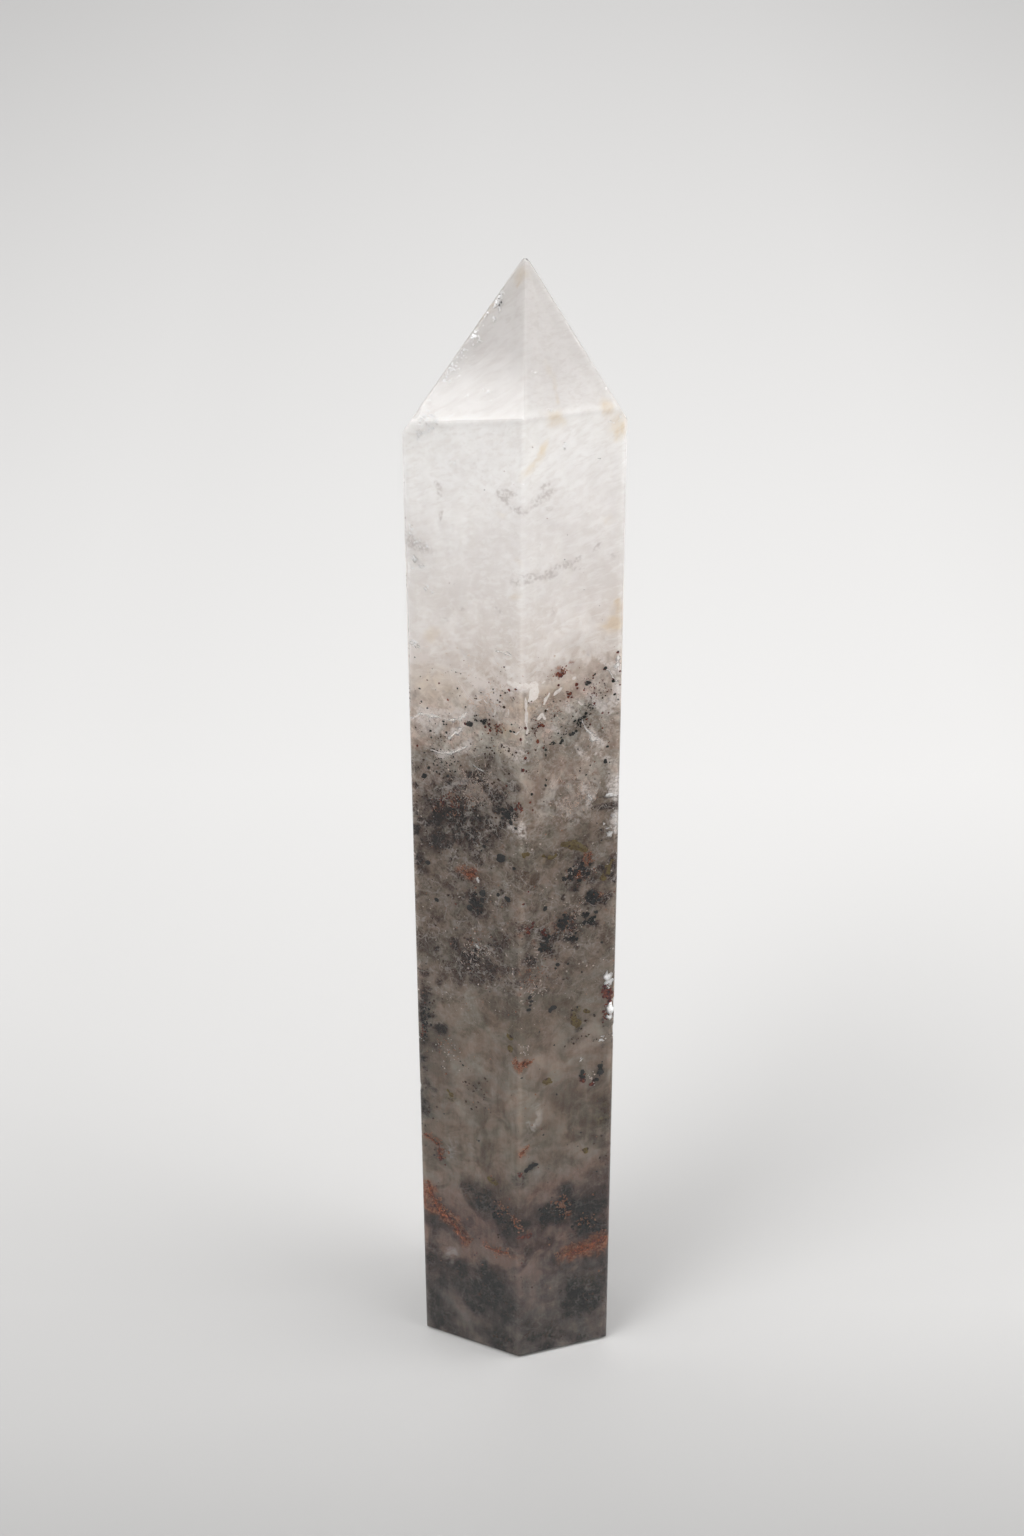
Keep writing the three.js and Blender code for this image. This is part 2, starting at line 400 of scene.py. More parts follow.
def between_skin_and_heart(points):
    """The points moved in or out, each to some depth between the skin and the heart."""
    rooms = OFFSETS - points @ NORMALS.T
    nearest = rooms.argmin(1)
    on_skin = points + rooms.min(1)[:, None] * NORMALS[nearest]
    depths = 0.2 + rng.uniform(0, 1, len(points)) * np.maximum(heart_depth(on_skin) - 0.15, 0.1)
    return on_skin - depths[:, None] * NORMALS[nearest]


def sunk(points, sizes):
    """The middles and sizes of the grains, moved in until each is under the skin, without those that
    still break through it at an edge."""
    needed = 0.66 * sizes + 0.04
    rooms = OFFSETS - points @ NORMALS.T
    points = points - np.maximum(needed - rooms.min(1), 0)[:, None] * NORMALS[rooms.argmin(1)]
    kept = ((OFFSETS - points @ NORMALS.T).min(1) > needed - 0.005) & (points[:, 2] > needed)
    return points[kept], sizes[kept]


def clear_of_skin(points):
    """Which points lie far enough under the skin for a small grain."""
    room = (OFFSETS - points @ NORMALS.T).min(1)
    return (room > 0.12) & (points[:, 2] > 0.2)


def gathered(place, wide, high, count, clump=1.6, loose=0.5):
    """Points in front of the heart within an oval, gathered in clumps of about clump mm."""
    centre, axes = place
    spread = rng.normal(size=(count * 8, 2)) * 0.42
    far = np.hypot(*spread.T)
    points = centre + spread * (wide / 2, high / 2) @ axes[:2]
    kept = (far < 1.2) & (wander(points, clump, 3.0) > loose * (far - 0.6) - 0.2)
    points = between_skin_and_heart(points[kept][:count])
    return points[clear_of_skin(points)]


def strewn(count, low, high):
    """Points in front of the heart, strewn round the stone between two heights."""
    points = between_skin_and_heart(skin(rng.uniform(0, 360, count), rng.uniform(low, high, count), 0.0))
    return points[clear_of_skin(points)]


# Materials. Colours inside the stone are written as they look from outside.
SMOOTH = {"interpolation_type": "SMOOTHSTEP"}
TIMES = {"operation": "MULTIPLY"}
TIMES_PLUS = {"operation": "MULTIPLY_ADD"}
OVER = {"data_type": "RGBA", "out": 2}
SHADE = {"data_type": "RGBA", "blend_type": "MULTIPLY", "out": 2}


def new_material(name):
    """An empty material and its node tree."""
    material = bpy.data.materials.new(name)
    material.use_nodes = True
    material.node_tree.nodes.clear()
    return material, material.node_tree


def millimetres(tree):
    """The place of each shaded point in the stone, in mm."""
    place = add(tree, "ShaderNodeTexCoord", out=3)
    return add(tree, "ShaderNodeVectorMath", {0: place, 3: 1 / MM}, operation="SCALE")


def show(tree, surface, volume=None):
    """Links the finished shaders to the material's output."""
    output = tree.nodes.new("ShaderNodeOutputMaterial")
    tree.links.new(surface, output.inputs["Surface"])
    if volume:
        tree.links.new(volume, output.inputs["Volume"])


def colour_steps(tree, value, stops):
    """A colour for each value from 0 to 1, from stops of (value, hex colour as it looks under the
    skin)."""
    ramp = tree.nodes.new("ShaderNodeValToRGB")
    tree.links.new(value, ramp.inputs[0])
    for i, (at, colour) in enumerate(stops):
        stop = ramp.color_ramp.elements[i] if i < 2 else ramp.color_ramp.elements.new(at)
        stop.position = at
        stop.color = under_skin(colour)
    return ramp.outputs[0]


def grainy(tree, place, size, detail=3.0, stretch=(1, 1, 1), swirl=0.0):
    """Noise from 0 to 1 with grains of about size mm."""
    pulled = add(tree, "ShaderNodeVectorMath", {0: place, 1: stretch}, **TIMES)
    inputs = {"Vector": pulled, "Scale": 1 / size, "Detail": detail, "Roughness": 0.6, "Distortion": swirl}
    noisy = add(tree, "ShaderNodeTexNoise", inputs)
    return add(tree, "ShaderNodeMapRange", {0: noisy, 1: 0.32, 2: 0.68}, **SMOOTH)


def crumbs(tree, place, apart, size, share):
    """Round crumbs of size mm, one in each cell of apart mm for the given share of the cells."""
    inputs = {"Vector": place, "Scale": 1 / apart, "Randomness": 1.0}
    near = add(tree, "ShaderNodeTexVoronoi", inputs)
    cell = tree.nodes.new("ShaderNodeSeparateColor")
    tree.links.new(add(tree, "ShaderNodeTexVoronoi", inputs, out=1), cell.inputs[0])
    chosen = add(tree, "ShaderNodeMath", {0: cell.outputs[0], 1: share}, operation="LESS_THAN")
    rim = {0: near, 1: 0.6 * size / apart, 2: 0.35 * size / apart}
    round_spot = add(tree, "ShaderNodeMapRange", rim, **SMOOTH)
    return add(tree, "ShaderNodeMath", {0: round_spot, 1: chosen}, **TIMES)


def combed(tree, place, lean, pull):
    """The place turned and squeezed, so that a pattern on it is drawn out along a line that leans over to
    the right by lean degrees."""
    turn = {"Vector": place, "Angle": -math.radians(lean)}
    leant = add(tree, "ShaderNodeVectorRotate", turn, rotation_type="Y_AXIS")
    return add(tree, "ShaderNodeVectorMath", {0: leant, 1: (1, 1, 1 / pull)}, **TIMES)


def threads(tree, place, size, width):
    """Fine crooked threads, where noise passes through its middle value."""
    noisy = add(tree, "ShaderNodeTexNoise", {"Vector": place, "Scale": 1 / size, "Detail": 2.0})
    middle = add(tree, "ShaderNodeMath", {0: noisy, 1: 0.5}, operation="SUBTRACT")
    away = add(tree, "ShaderNodeMath", {0: middle}, operation="ABSOLUTE")
    return add(tree, "ShaderNodeMapRange", {0: away, 1: width, 2: 0.0}, **SMOOTH)


def level_in(tree, place):
    """How high each point is above the foot as a share of the stone's height, measured along the
    crystal's growth, which leans with the phantom."""
    split = tree.nodes.new("ShaderNodeSeparateXYZ")
    tree.links.new(place, split.inputs[0])
    waves = {"Vector": place, "Scale": 0.22, "Detail": 7.0, "Roughness": 0.62}
    cloud = add(tree, "ShaderNodeTexNoise", waves)
    lift = add(tree, "ShaderNodeMath", {0: cloud, 1: 2 * PHANTOM_SWAY, 2: -PHANTOM_SWAY}, **TIMES_PLUS)
    tilted = add(tree, "ShaderNodeMath", {0: split.outputs[0], 1: -PHANTOM_RISE, 2: lift}, **TIMES_PLUS)
    height = add(tree, "ShaderNodeMath", {0: split.outputs[2], 1: tilted}, operation="ADD")
    return add(tree, "ShaderNodeMath", {0: height, 1: HEIGHT}, operation="DIVIDE")


def polished_quartz():
    """Rock crystal, ground flat and polished: clear, with a hard bright gloss that shows every facet."""
    material, tree = new_material("rock crystal ground and polished")
    clear = {"Base Color": linear("FFFFFF"), "IOR": QUARTZ_IOR, "Transmission Weight": 1.0}
    surface = add(tree, "ShaderNodeBsdfPrincipled", {**clear, "Roughness": 0.03})
    grey = add(tree, "ShaderNodeVolumeAbsorption", {"Color": linear("E8E0D8"), "Density": 3.0})
    show(tree, surface, grey)
    return material


# The darker and the lighter parts of the heart at each height
HEART_COLOURS = [
    (0, "24201E", "5F5855"), (5, "252120", "625A57"), (11, "282321", "655B58"), (16, "382F2A", "79665F"),
    (21, "322927", "695955"), (26, "453C37", "7D6C65"), (29, "4C443F", "82786F"),
    (33, "4A423C", "7A7168"), (37, "4E4640", "7D746B"), (40, "564D47", "887E75"),
    (46, "58504A", "8D847B"), (52, "4C453E", "7F756C"), (58, "4C443E", "897F76"),
    (64, "49423C", "857B72"), (70, "453E38", "7E746C"), (75, "48413B", "82786F"),
    (80, "514942", "8C8279"), (86, "756961", "B7ADA4"), (90, "60564E", "948A82"),
    (94, "7F736A", "C1B8B0"), (97, "8D8077", "D4CBC4"), (100, "9D9085", "DFD7D0"),
    (103, "B7ABA2", "DED7D1"), (107, "C6BDB6", "DCD5D1"), (112, "CDC6C1", "DDD8D4"),
    (119, "D2CCC8", "E1DDDA"), (127, "E2DFDC", "F0EEEC"), (150, "E3E1DD", "F0EDEA"),
]


def cloudy_quartz():
    """Milky quartz as it grew: a soft white cloud above the phantom, and below it a grey one with moss,
    crumbs and fine fibres in it, which gives the smoky depth."""
    material, tree = new_material("milky and smoky quartz as grown")
    place = millimetres(tree)
    level = level_in(tree, place)
    below = add(tree, "ShaderNodeMapRange", {0: level, 1: 102 / HEIGHT, 2: 94 / HEIGHT}, **SMOOTH)
    softer = add(tree, "ShaderNodeMapRange", {0: level, 1: 66 / HEIGHT, 2: 44 / HEIGHT}, **SMOOTH)
    crisp = add(tree, "ShaderNodeMapRange", {0: softer, 3: 1.0, 4: 0.2})

    small_clouds = grainy(tree, place, 4.0, 5.0, swirl=0.8)
    large_clouds = grainy(tree, place, 9.0, 3.0, swirl=0.5)
    clouds = add(tree, "ShaderNodeMix", {0: 0.4, 2: small_clouds, 3: large_clouds})
    mottle = grainy(tree, place, 1.6, 6.0, swirl=0.6)
    fine = grainy(tree, place, 0.4, 4.0)
    streaks = grainy(tree, place, 0.8, 4.0, (1, 1, 0.2), 0.3)
    mottled = add(tree, "ShaderNodeMapRange", {0: softer, 3: 0.45, 4: 0.14})
    light = add(tree, "ShaderNodeMix", {0: mottled, 2: clouds, 3: mottle})
    light = add(tree, "ShaderNodeMapRange", {0: light, 1: 0.12, 2: 0.88}, **SMOOTH)
    streaky = add(tree, "ShaderNodeMath", {0: softer, 1: 0.25}, **TIMES)
    light = add(tree, "ShaderNodeMix", {0: streaky, 2: light, 3: streaks})
    fuzzy = add(tree, "ShaderNodeMapRange", {0: grainy(tree, place, 3.4), 3: 0.05, 4: 0.4})
    fuzzy = add(tree, "ShaderNodeMath", {0: fuzzy, 1: below}, **TIMES)
    fuzzy = add(tree, "ShaderNodeMath", {0: fuzzy, 1: crisp}, **TIMES)
    light = add(tree, "ShaderNodeMix", {0: fuzzy, 2: light, 3: fine})
    dark_parts = colour_steps(tree, level, [(min(1.0, up / HEIGHT), dark) for up, dark, _ in HEART_COLOURS])
    light_parts = colour_steps(tree, level, [(min(1.0, up / HEIGHT), pale) for up, _, pale in HEART_COLOURS])
    body = add(tree, "ShaderNodeMix", {0: light, 6: dark_parts, 7: light_parts}, **OVER)

    # Feathery growth lines: pale brush strokes where the moss begins, faint wisps in the milk above it
    border = add(tree, "ShaderNodeMapRange", {0: level, 1: 87 / HEIGHT, 2: 95 / HEIGHT}, **SMOOTH)
    border = add(tree, "ShaderNodeMath", {0: border, 1: below}, **TIMES)
    for lean, size, width, most in ((-38, 1.0, 0.09, 0.9), (-55, 0.55, 0.08, 0.7), (50, 0.9, 0.07, 0.6)):
        brushed = threads(tree, combed(tree, place, lean, 4), size, width)
        brushed = add(tree, "ShaderNodeMath", {0: brushed, 1: border}, **TIMES)
        brushed = add(tree, "ShaderNodeMath", {0: brushed, 1: mottle}, **TIMES)
        brushed = add(tree, "ShaderNodeMath", {0: brushed, 1: most}, **TIMES)
        body = add(tree, "ShaderNodeMix", {0: brushed, 6: body, 7: under_skin("D9CFC8")}, **OVER)
    milky = add(tree, "ShaderNodeMapRange", {0: below, 3: 1.0, 4: 0.0})
    for lean, size, colour in ((68, 0.5, "C8C1BC"), (45, 0.9, "D2CCC7"), (75, 0.7, "F4F2F0")):
        wisps = grainy(tree, combed(tree, place, lean, 6), size, 4.0, swirl=0.5)
        wisps = add(tree, "ShaderNodeMath", {0: wisps, 1: milky}, **TIMES)
        wisps = add(tree, "ShaderNodeMapRange", {0: wisps, 1: 0.5, 2: 1.0, 4: 0.4}, **SMOOTH)
        body = add(tree, "ShaderNodeMix", {0: wisps, 6: body, 7: under_skin(colour)}, **OVER)

    # Painted shade on the tip's facets: more of the light from above falls on them than on the sides, so
    # they are darkened
    tip = add(tree, "ShaderNodeAttribute", out=2, attribute_name="tip")
    body = add(tree, "ShaderNodeMix", {0: tip, 6: body, 7: linear("DBD9D8")}, **SHADE)

    # Below, the grey leans to brown here and to green there
    elsewhere = add(tree, "ShaderNodeVectorMath", {0: place, 1: (40, 0, 0)}, operation="ADD")
    cast = grainy(tree, elsewhere, 3.6, 4.0, swirl=1.0)
    cast = add(tree, "ShaderNodeMix", {0: cast, 6: linear("FFF1E9"), 7: linear("F0F4F0")}, **OVER)
    body = add(tree, "ShaderNodeMix", {0: below, 6: body, 7: cast}, **SHADE)

    # Tints of the spots, whose edges the mottle breaks up
    rough = add(tree, "ShaderNodeMapRange", {0: mottle, 3: 0.5, 4: 1.5})
    for name, most, dark, pale in (
        ("milk", 0.8, "C4B9B1", "E2DCD7"),
        ("olive", 0.75, "352F24", "675C45"),
        ("rust", 0.85, "4E352C", "986049"),
    ):
        mask = add(tree, "ShaderNodeAttribute", out=2, attribute_name=name)
        mask = add(tree, "ShaderNodeMath", {0: mask, 1: rough}, **TIMES)
        mask = add(tree, "ShaderNodeMapRange", {0: mask, 1: 0.25, 2: 1.1, 4: most}, **SMOOTH)
        tint = add(tree, "ShaderNodeMix", {0: fine, 6: under_skin(dark), 7: under_skin(pale)}, **OVER)
        body = add(tree, "ShaderNodeMix", {0: mask, 6: body, 7: tint}, **OVER)

    # Painted strokes, whose edges the fine grain feathers: grey wisps and pale streaks
    feathered = add(tree, "ShaderNodeMapRange", {0: fine, 3: 0.45, 4: 1.5})
    feathered = add(tree, "ShaderNodeMix", {0: softer, 2: feathered, 3: 0.75})
    for name, start, full, most, colour in (
        ("grey", 0.15, 1.3, 0.75, "A39C98"),
        ("pale", 0.1, 0.85, 0.95, "D5CBC5"),
    ):
        mask = add(tree, "ShaderNodeAttribute", out=2, attribute_name=name)
        mask = add(tree, "ShaderNodeMath", {0: mask, 1: feathered}, **TIMES)
        mask = add(tree, "ShaderNodeMapRange", {0: mask, 1: start, 2: full, 4: most}, **SMOOTH)
        body = add(tree, "ShaderNodeMix", {0: mask, 6: body, 7: under_skin(colour)}, **OVER)
    ochre = add(tree, "ShaderNodeAttribute", out=2, attribute_name="ochre")
    ochre = add(tree, "ShaderNodeMath", {0: ochre, 1: rough}, **TIMES)
    body = add(tree, "ShaderNodeMix", {0: ochre, 6: body, 7: linear("F4EADA")}, clamp_factor=True, **SHADE)

    # Smoke is chlorite that grew as moss: a soft dark cloud with crumbs in it
    smoke = add(tree, "ShaderNodeAttribute", out=2, attribute_name="smoke")
    small_tufts = grainy(tree, place, 0.8, 5.0, swirl=0.8)
    tufts = add(tree, "ShaderNodeMix", {0: 0.5, 2: grainy(tree, place, 2.4, 5.0, swirl=1.2), 3: small_tufts})
    tufts = add(tree, "ShaderNodeMapRange", {0: tufts, 3: 0.5, 4: 1.55})
    tufts = add(tree, "ShaderNodeMath", {0: smoke, 1: tufts}, **TIMES)
    thickest = add(tree, "ShaderNodeMapRange", {0: softer, 3: 0.9, 4: 0.99})
    cloud = add(tree, "ShaderNodeMapRange", {0: tufts, 1: 0.0, 2: 1.15, 4: thickest}, **SMOOTH)
    dark = add(tree, "ShaderNodeMix", {0: softer, 6: under_skin("3B322D"), 7: under_skin("231F1D")}, **OVER)
    body = add(tree, "ShaderNodeMix", {0: cloud, 6: body, 7: dark}, **OVER)
    crumbly = add(tree, "ShaderNodeMath", {0: grainy(tree, place, 0.35, 4.0), 1: 0.6, 2: -0.4}, **TIMES_PLUS)
    crumbly = add(tree, "ShaderNodeMath", {0: tufts, 1: 0.75, 2: crumbly}, **TIMES_PLUS)
    crumbly = add(tree, "ShaderNodeMapRange", {0: crumbly, 1: 0.4, 2: 0.85, 4: 0.85}, **SMOOTH)
    crumbly = add(tree, "ShaderNodeMath", {0: crumbly, 1: crisp}, **TIMES)
    body = add(tree, "ShaderNodeMix", {0: crumbly, 6: body, 7: under_skin("312926")}, **OVER)

    # Pale fibres and crumbs lie over it; the pale crumbs are painted glints
    crowd = add(tree, "ShaderNodeMapRange", {0: smoke, 1: 0.0, 2: 0.8, 3: 0.4, 4: 0.62})
    crowd = add(tree, "ShaderNodeMath", {0: crowd, 1: below}, **TIMES)
    crowd = add(tree, "ShaderNodeMath", {0: crowd, 1: crisp}, **TIMES)
    bunched = grainy(tree, place, 2.6, 4.0, swirl=1.0)
    for size, width, colour in ((0.9, 0.05, "3B3330"), (1.7, 0.04, "B0A59B"), (0.45, 0.05, "978C83")):
        hairs = threads(tree, place, size, width)
        hairs = add(tree, "ShaderNodeMath", {0: hairs, 1: bunched}, **TIMES)
        hairs = add(tree, "ShaderNodeMath", {0: hairs, 1: crowd}, **TIMES)
        body = add(tree, "ShaderNodeMix", {0: hairs, 6: body, 7: under_skin(colour)}, **OVER)
    dark_crumbs = add(tree, "ShaderNodeMath", {0: crumbs(tree, place, 0.7, 0.4, 0.14), 1: crowd}, **TIMES)
    body = add(tree, "ShaderNodeMix", {0: dark_crumbs, 6: body, 7: under_skin("3A3432")}, **OVER)
    painted_glint_crumbs = add(tree, "ShaderNodeMath", {0: crumbs(tree, place, 0.9, 0.3, 0.12), 1: crowd}, **TIMES)
    body = add(tree, "ShaderNodeMix", {0: painted_glint_crumbs, 6: body, 7: under_skin("B5A193")}, **OVER)
    surface = add(tree, "ShaderNodeBsdfPrincipled", {"Base Color": body, "Roughness": 0.8})
    show(tree, surface)
    return material


def mineral(name, colours, size=0.5, roughness=0.5):
    """A mineral as it grew, whose colour changes over about size mm."""
    material, tree = new_material(name)
    stops = [(i / (len(colours) - 1), colour) for i, colour in enumerate(colours)]
    colour = colour_steps(tree, grainy(tree, millimetres(tree), size), stops)
    show(tree, add(tree, "ShaderNodeBsdfPrincipled", {"Base Color": colour, "Roughness": roughness}))
    return material


def veil(name, colours, alpha, size=0.5):
    """A film that is thin in places and fades out at its rim."""
    material, tree = new_material(name)
    place = millimetres(tree)
    noisy = grainy(tree, place, size)
    one, other = (under_skin(colour) for colour in colours)
    colour = add(tree, "ShaderNodeMix", {0: noisy, 6: one, 7: other}, **OVER)
    rim = add(tree, "ShaderNodeAttribute", out=2, attribute_name="core")
    thick = add(tree, "ShaderNodeMath", {0: grainy(tree, place, 0.4 * size), 1: 0.6, 2: -0.35}, **TIMES_PLUS)
    thick = add(tree, "ShaderNodeMath", {0: rim, 1: thick}, operation="ADD")
    thick = add(tree, "ShaderNodeMapRange", {0: thick, 1: 0.1, 2: 0.9, 4: alpha}, **SMOOTH)
    film = {"Base Color": colour, "Roughness": 0.8, "Alpha": thick}
    show(tree, add(tree, "ShaderNodeBsdfPrincipled", film))
    return material


# Spots of the heart as the front shows them: across, up, width, height, lean and strength
SMOKE = [
    (-3.6, 95, 4, 2.4, 0, 0.35), (2.4, 96.4, 3, 4, 0, 0.3), (8.6, 95, 6, 3.4, 30, 0.4),
    (-8.6, 91.8, 8, 2, 0, 0.3), (-10.4, 88.2, 5, 2.6, 0, 0.5), (10.4, 98.6, 4, 3, 20, 0.12),
    (-1, 98.4, 7, 2.4, 0, 0.3), (-2, 91, 12, 3, -15, 0.35), (-12.4, 96.6, 1.6, 6, 0, 0.4),
    (-4, 88.6, 4, 3, 0, 0.5), (2, 66, 6, 5, 0, 0.6), (-7, 71, 6, 5, 20, 0.5), (4.6, 60, 6, 4, 0, 0.5),
    (8.6, 49.6, 4, 4, 0, 0.6), (-8.8, 79.4, 10, 8, -20, 1.25), (-5.6, 82.8, 12, 7, -45, 1),
    (-3, 86.4, 5, 3, -45, 0.55), (-10.8, 84.5, 5, 6, 0, 0.7), (-4.4, 77.6, 7, 4, -20, 0.8),
    (-0.9, 82.6, 2.6, 2.8, 20, 1.6), (-3.6, 79, 5, 6, 0, 0.6), (-12, 73.2, 2.6, 3.4, 0, 1.5),
    (8.2, 73, 6, 3.4, -25, 1.3), (9.9, 69.6, 3.2, 2.8, 0, 1.4), (9.6, 66.6, 3.2, 2.8, 0, 1.2),
    (6.8, 67, 3.6, 4.6, 25, 1.3), (4, 64.1, 2.8, 3.2, 0, 1.4), (7.6, 64, 2.6, 2.8, 0, 1),
    (12.4, 73.7, 2.4, 5, 0, 1.7), (11.2, 72.4, 2.4, 2.6, 0, 0.8), (-4.2, 62.4, 8.5, 7, -15, 1.05),
    (-2, 60.4, 4.5, 5, 0, 0.9), (-7.2, 58.6, 5, 5, 20, 0.8), (-4.2, 69, 3.6, 4.6, 20, 0.9),
    (-9.8, 65, 2.2, 2.4, 0, 0.8), (-1, 70.9, 2.4, 1.8, 0, 0.9), (0.5, 57.6, 5, 4, 0, 0.5),
    (-11.4, 53, 4, 11, 0, 1.2), (-11.8, 43, 2.4, 10, 0, 1.3), (-11.6, 35.6, 2.6, 6, 0, 1.2),
    (12.4, 50, 2, 6, 0, 0.9), (12, 37, 2.4, 8, 0, 0.8), (12.2, 29, 1.6, 8, 0, 0.8),
    (-5, 41, 4, 7, 15, 0.45), (6.6, 22.6, 5, 5, 0, 1.5), (9.9, 19.6, 5, 5, -10, 1.6),
    (3.9, 22.4, 1.8, 4, 0, 1.6), (-0.6, 21, 4, 5, 0, 1.2), (-4, 23.6, 4, 3.4, 20, 1.3),
    (-6.2, 25.3, 3.6, 2.4, 0, 1.6), (2.4, 30.6, 1.8, 1, -20, 1.8), (0.7, 29.6, 1.2, 1.6, 0, 1.8),
    (-10.6, 29.6, 1.8, 2, 0, 1), (0.6, 17.6, 7, 2.6, -10, 1.3), (11.6, 24, 2, 5, 0, 1.4),
    (-4.4, 9.6, 12, 6, 15, 1.3), (0.6, 5.6, 7, 4, 0, 1), (9.8, 8.8, 6, 7, 0, 1.3),
    (4.6, 2.6, 9, 4, -10, 1.2), (-1, 2.6, 8, 3.4, 15, 1), (-11, 13, 3.4, 4, 0, 1.1),
    (-9.6, 3, 5, 3, 20, 0.8), (0.4, 12.6, 6, 4, 0, 0.5),
]
OLIVE = [
    (9.5, 9.5, 4, 4, 0, 0.9), (7.9, 51.9, 2.2, 3, 0, 1.2), (11.6, 38.4, 2.2, 4.5, 0, 0.9),
    (11.2, 35.4, 3.2, 2.6, 0, 1), (9.4, 31.4, 1.4, 2, 0, 1.6), (-8.4, 39.4, 2, 2.2, 30, 1.1),
    (-2.5, 27.5, 2.8, 2.2, -30, 1.1), (6, 83.4, 7, 4, -20, 0.6), (9, 80.4, 6, 3, -20, 0.6),
    (3, 52, 9, 4, 0, 0.45), (4.4, 43.4, 1.8, 1.2, 0, 1.2), (12, 72.4, 1.8, 3, 20, 1),
]
RUST = [
    (-11.8, 22.6, 2.2, 4.4, 0, 1.7), (-10.2, 20.4, 3.4, 2.6, 40, 1.8), (-8.6, 19.2, 3, 2.4, 0, 1.8),
    (-7.3, 17, 2.2, 4, -30, 1.6), (10.6, 16.4, 5.4, 2.8, -14, 2.6), (7.9, 15.6, 3, 1.8, 0, 1.8),
    (-2.2, 16.6, 5.4, 1.4, 4, 1.2), (-0.8, 21.6, 4.4, 2.4, 10, 0.8), (8.6, 22, 5, 4, 0, 0.5),
    (-11.3, 31.6, 2, 0.8, 15, 1.2), (-9.8, 29, 1, 2, 0, 1.4), (1.6, 19.6, 3, 1.4, 0, 0.9),
    (0, 22.6, 2.6, 1.4, 0, 0.6), (5.6, 101.9, 1.1, 1.1, 0, 1.3), (6.9, 102, 2.4, 1.6, 0, 0.8),
    (6.2, 98.4, 2.4, 1.2, -30, 0.7), (1, 46.8, 2.2, 1.2, 0, 1), (-5.6, 73.1, 2.8, 1.4, 0, 0.9),
    (2.2, 57.6, 4.6, 3, 0, 0.55), (12, 53.4, 1.8, 4.6, 0, 0.9), (-8.2, 82.2, 6, 3, -35, 1),
    (5.2, 66.4, 4, 3, 0, 0.6), (1.8, 67.4, 3.4, 3.4, 0, 0.6), (-3, 78.6, 5, 4, 0, 0.5),
    (8.2, 73.5, 0.8, 0.8, 0, 1.4), (3.6, 95.2, 1.6, 0.8, 0, 0.7), (-2.4, 94.4, 2.6, 1.4, 0, 0.6),
    (-9, 46, 3, 3, 0, 0.5), (9.6, 12.6, 5, 1.6, 0, 0.6), (-7, 84.4, 5, 2, -40, 0.5),
]
MILK = [
    (6.8, 84.4, 13, 10, -20, 0.5), (9.6, 61, 5, 8, 0, 0.3), (-10.4, 62, 4, 9, 0, 0.25),
    (3.4, 33.6, 9, 4, -30, 0.25), (-6, 31.6, 9, 5, 15, 0.28), (3, 10.8, 9, 5, 25, 0.22),
    (-8.2, 17.6, 3, 6, 0, 0.3), (-10.6, 92.6, 4.6, 2.8, 0, 0.9), (-11.8, 101.4, 2.2, 1.8, 0, 1.2),
    (9.6, 104, 5, 2.4, -15, 0.9), (-4.2, 99.6, 5, 2.6, -30, 0.8), (2.5, 38, 2.4, 6, 12, 0.6),
    (9.4, 12.6, 4, 1.4, 0, 0.5), (1, 101.4, 4, 1, -20, 0.9), (-9, 30.6, 4, 5, 0, 0.5),
    (-8.6, 13.6, 3, 5, 0, 0.5),
]
OCHRE = [
    (-9.6, 98, 7, 5, 0, 0.4), (-10.4, 97.6, 3, 3, 0, 0.3), (-1, 91.8, 3, 2, 0, 0.6),
    (-10, 105, 2.4, 1.6, -40, 0.5), (12, 107.4, 1.8, 2, 0, 1), (12.4, 109.4, 1.2, 1.6, 0, 0.8),
    (4.6, 134.2, 1.6, 1.4, 0, 0.6), (0.8, 148.2, 1.2, 2, 0, 0.5), (4.6, 76.4, 4, 1.6, 0, 0.9),
    (12, 132.8, 2, 3, 0, 0.4), (3, 98.6, 9, 3, -20, 0.5), (-1.6, 94.2, 5, 2, 0, 0.6),
]
# The same on the sides that the photograph doesn't show: how many spots, between which heights, their
# smallest and largest size, and how strong they are.
UNSEEN = {
    "smoke": [
        (18, 56, 88, 3, 11, 1.0), (16, 14, 34, 2, 7, 1.0), (9, 1, 12, 5, 10, 0.95), (10, 34, 56, 2, 6, 0.8),
    ],
    "olive": [(9, 28, 55, 2, 4, 1.0), (5, 76, 90, 4, 7, 0.6), (4, 6, 14, 3, 5, 0.9)],
    "rust": [(14, 14, 33, 1, 4, 1.2), (10, 44, 84, 1, 4, 0.8), (5, 96, 103, 1, 3, 0.9)],
    "milk": [(9, 88, 104, 2, 5, 0.9), (4, 12, 40, 2, 5, 0.5)],
    "ochre": [(8, 94, 106, 2, 6, 1.0), (4, 108, 136, 1, 2, 0.9)],
    "grey": [(26, 104, 132, 0.8, 2.4, 0.6)],
    "pale": [(14, 88, 104, 0.6, 2.0, 0.8), (10, 2, 40, 0.8, 2.4, 0.5)],
}


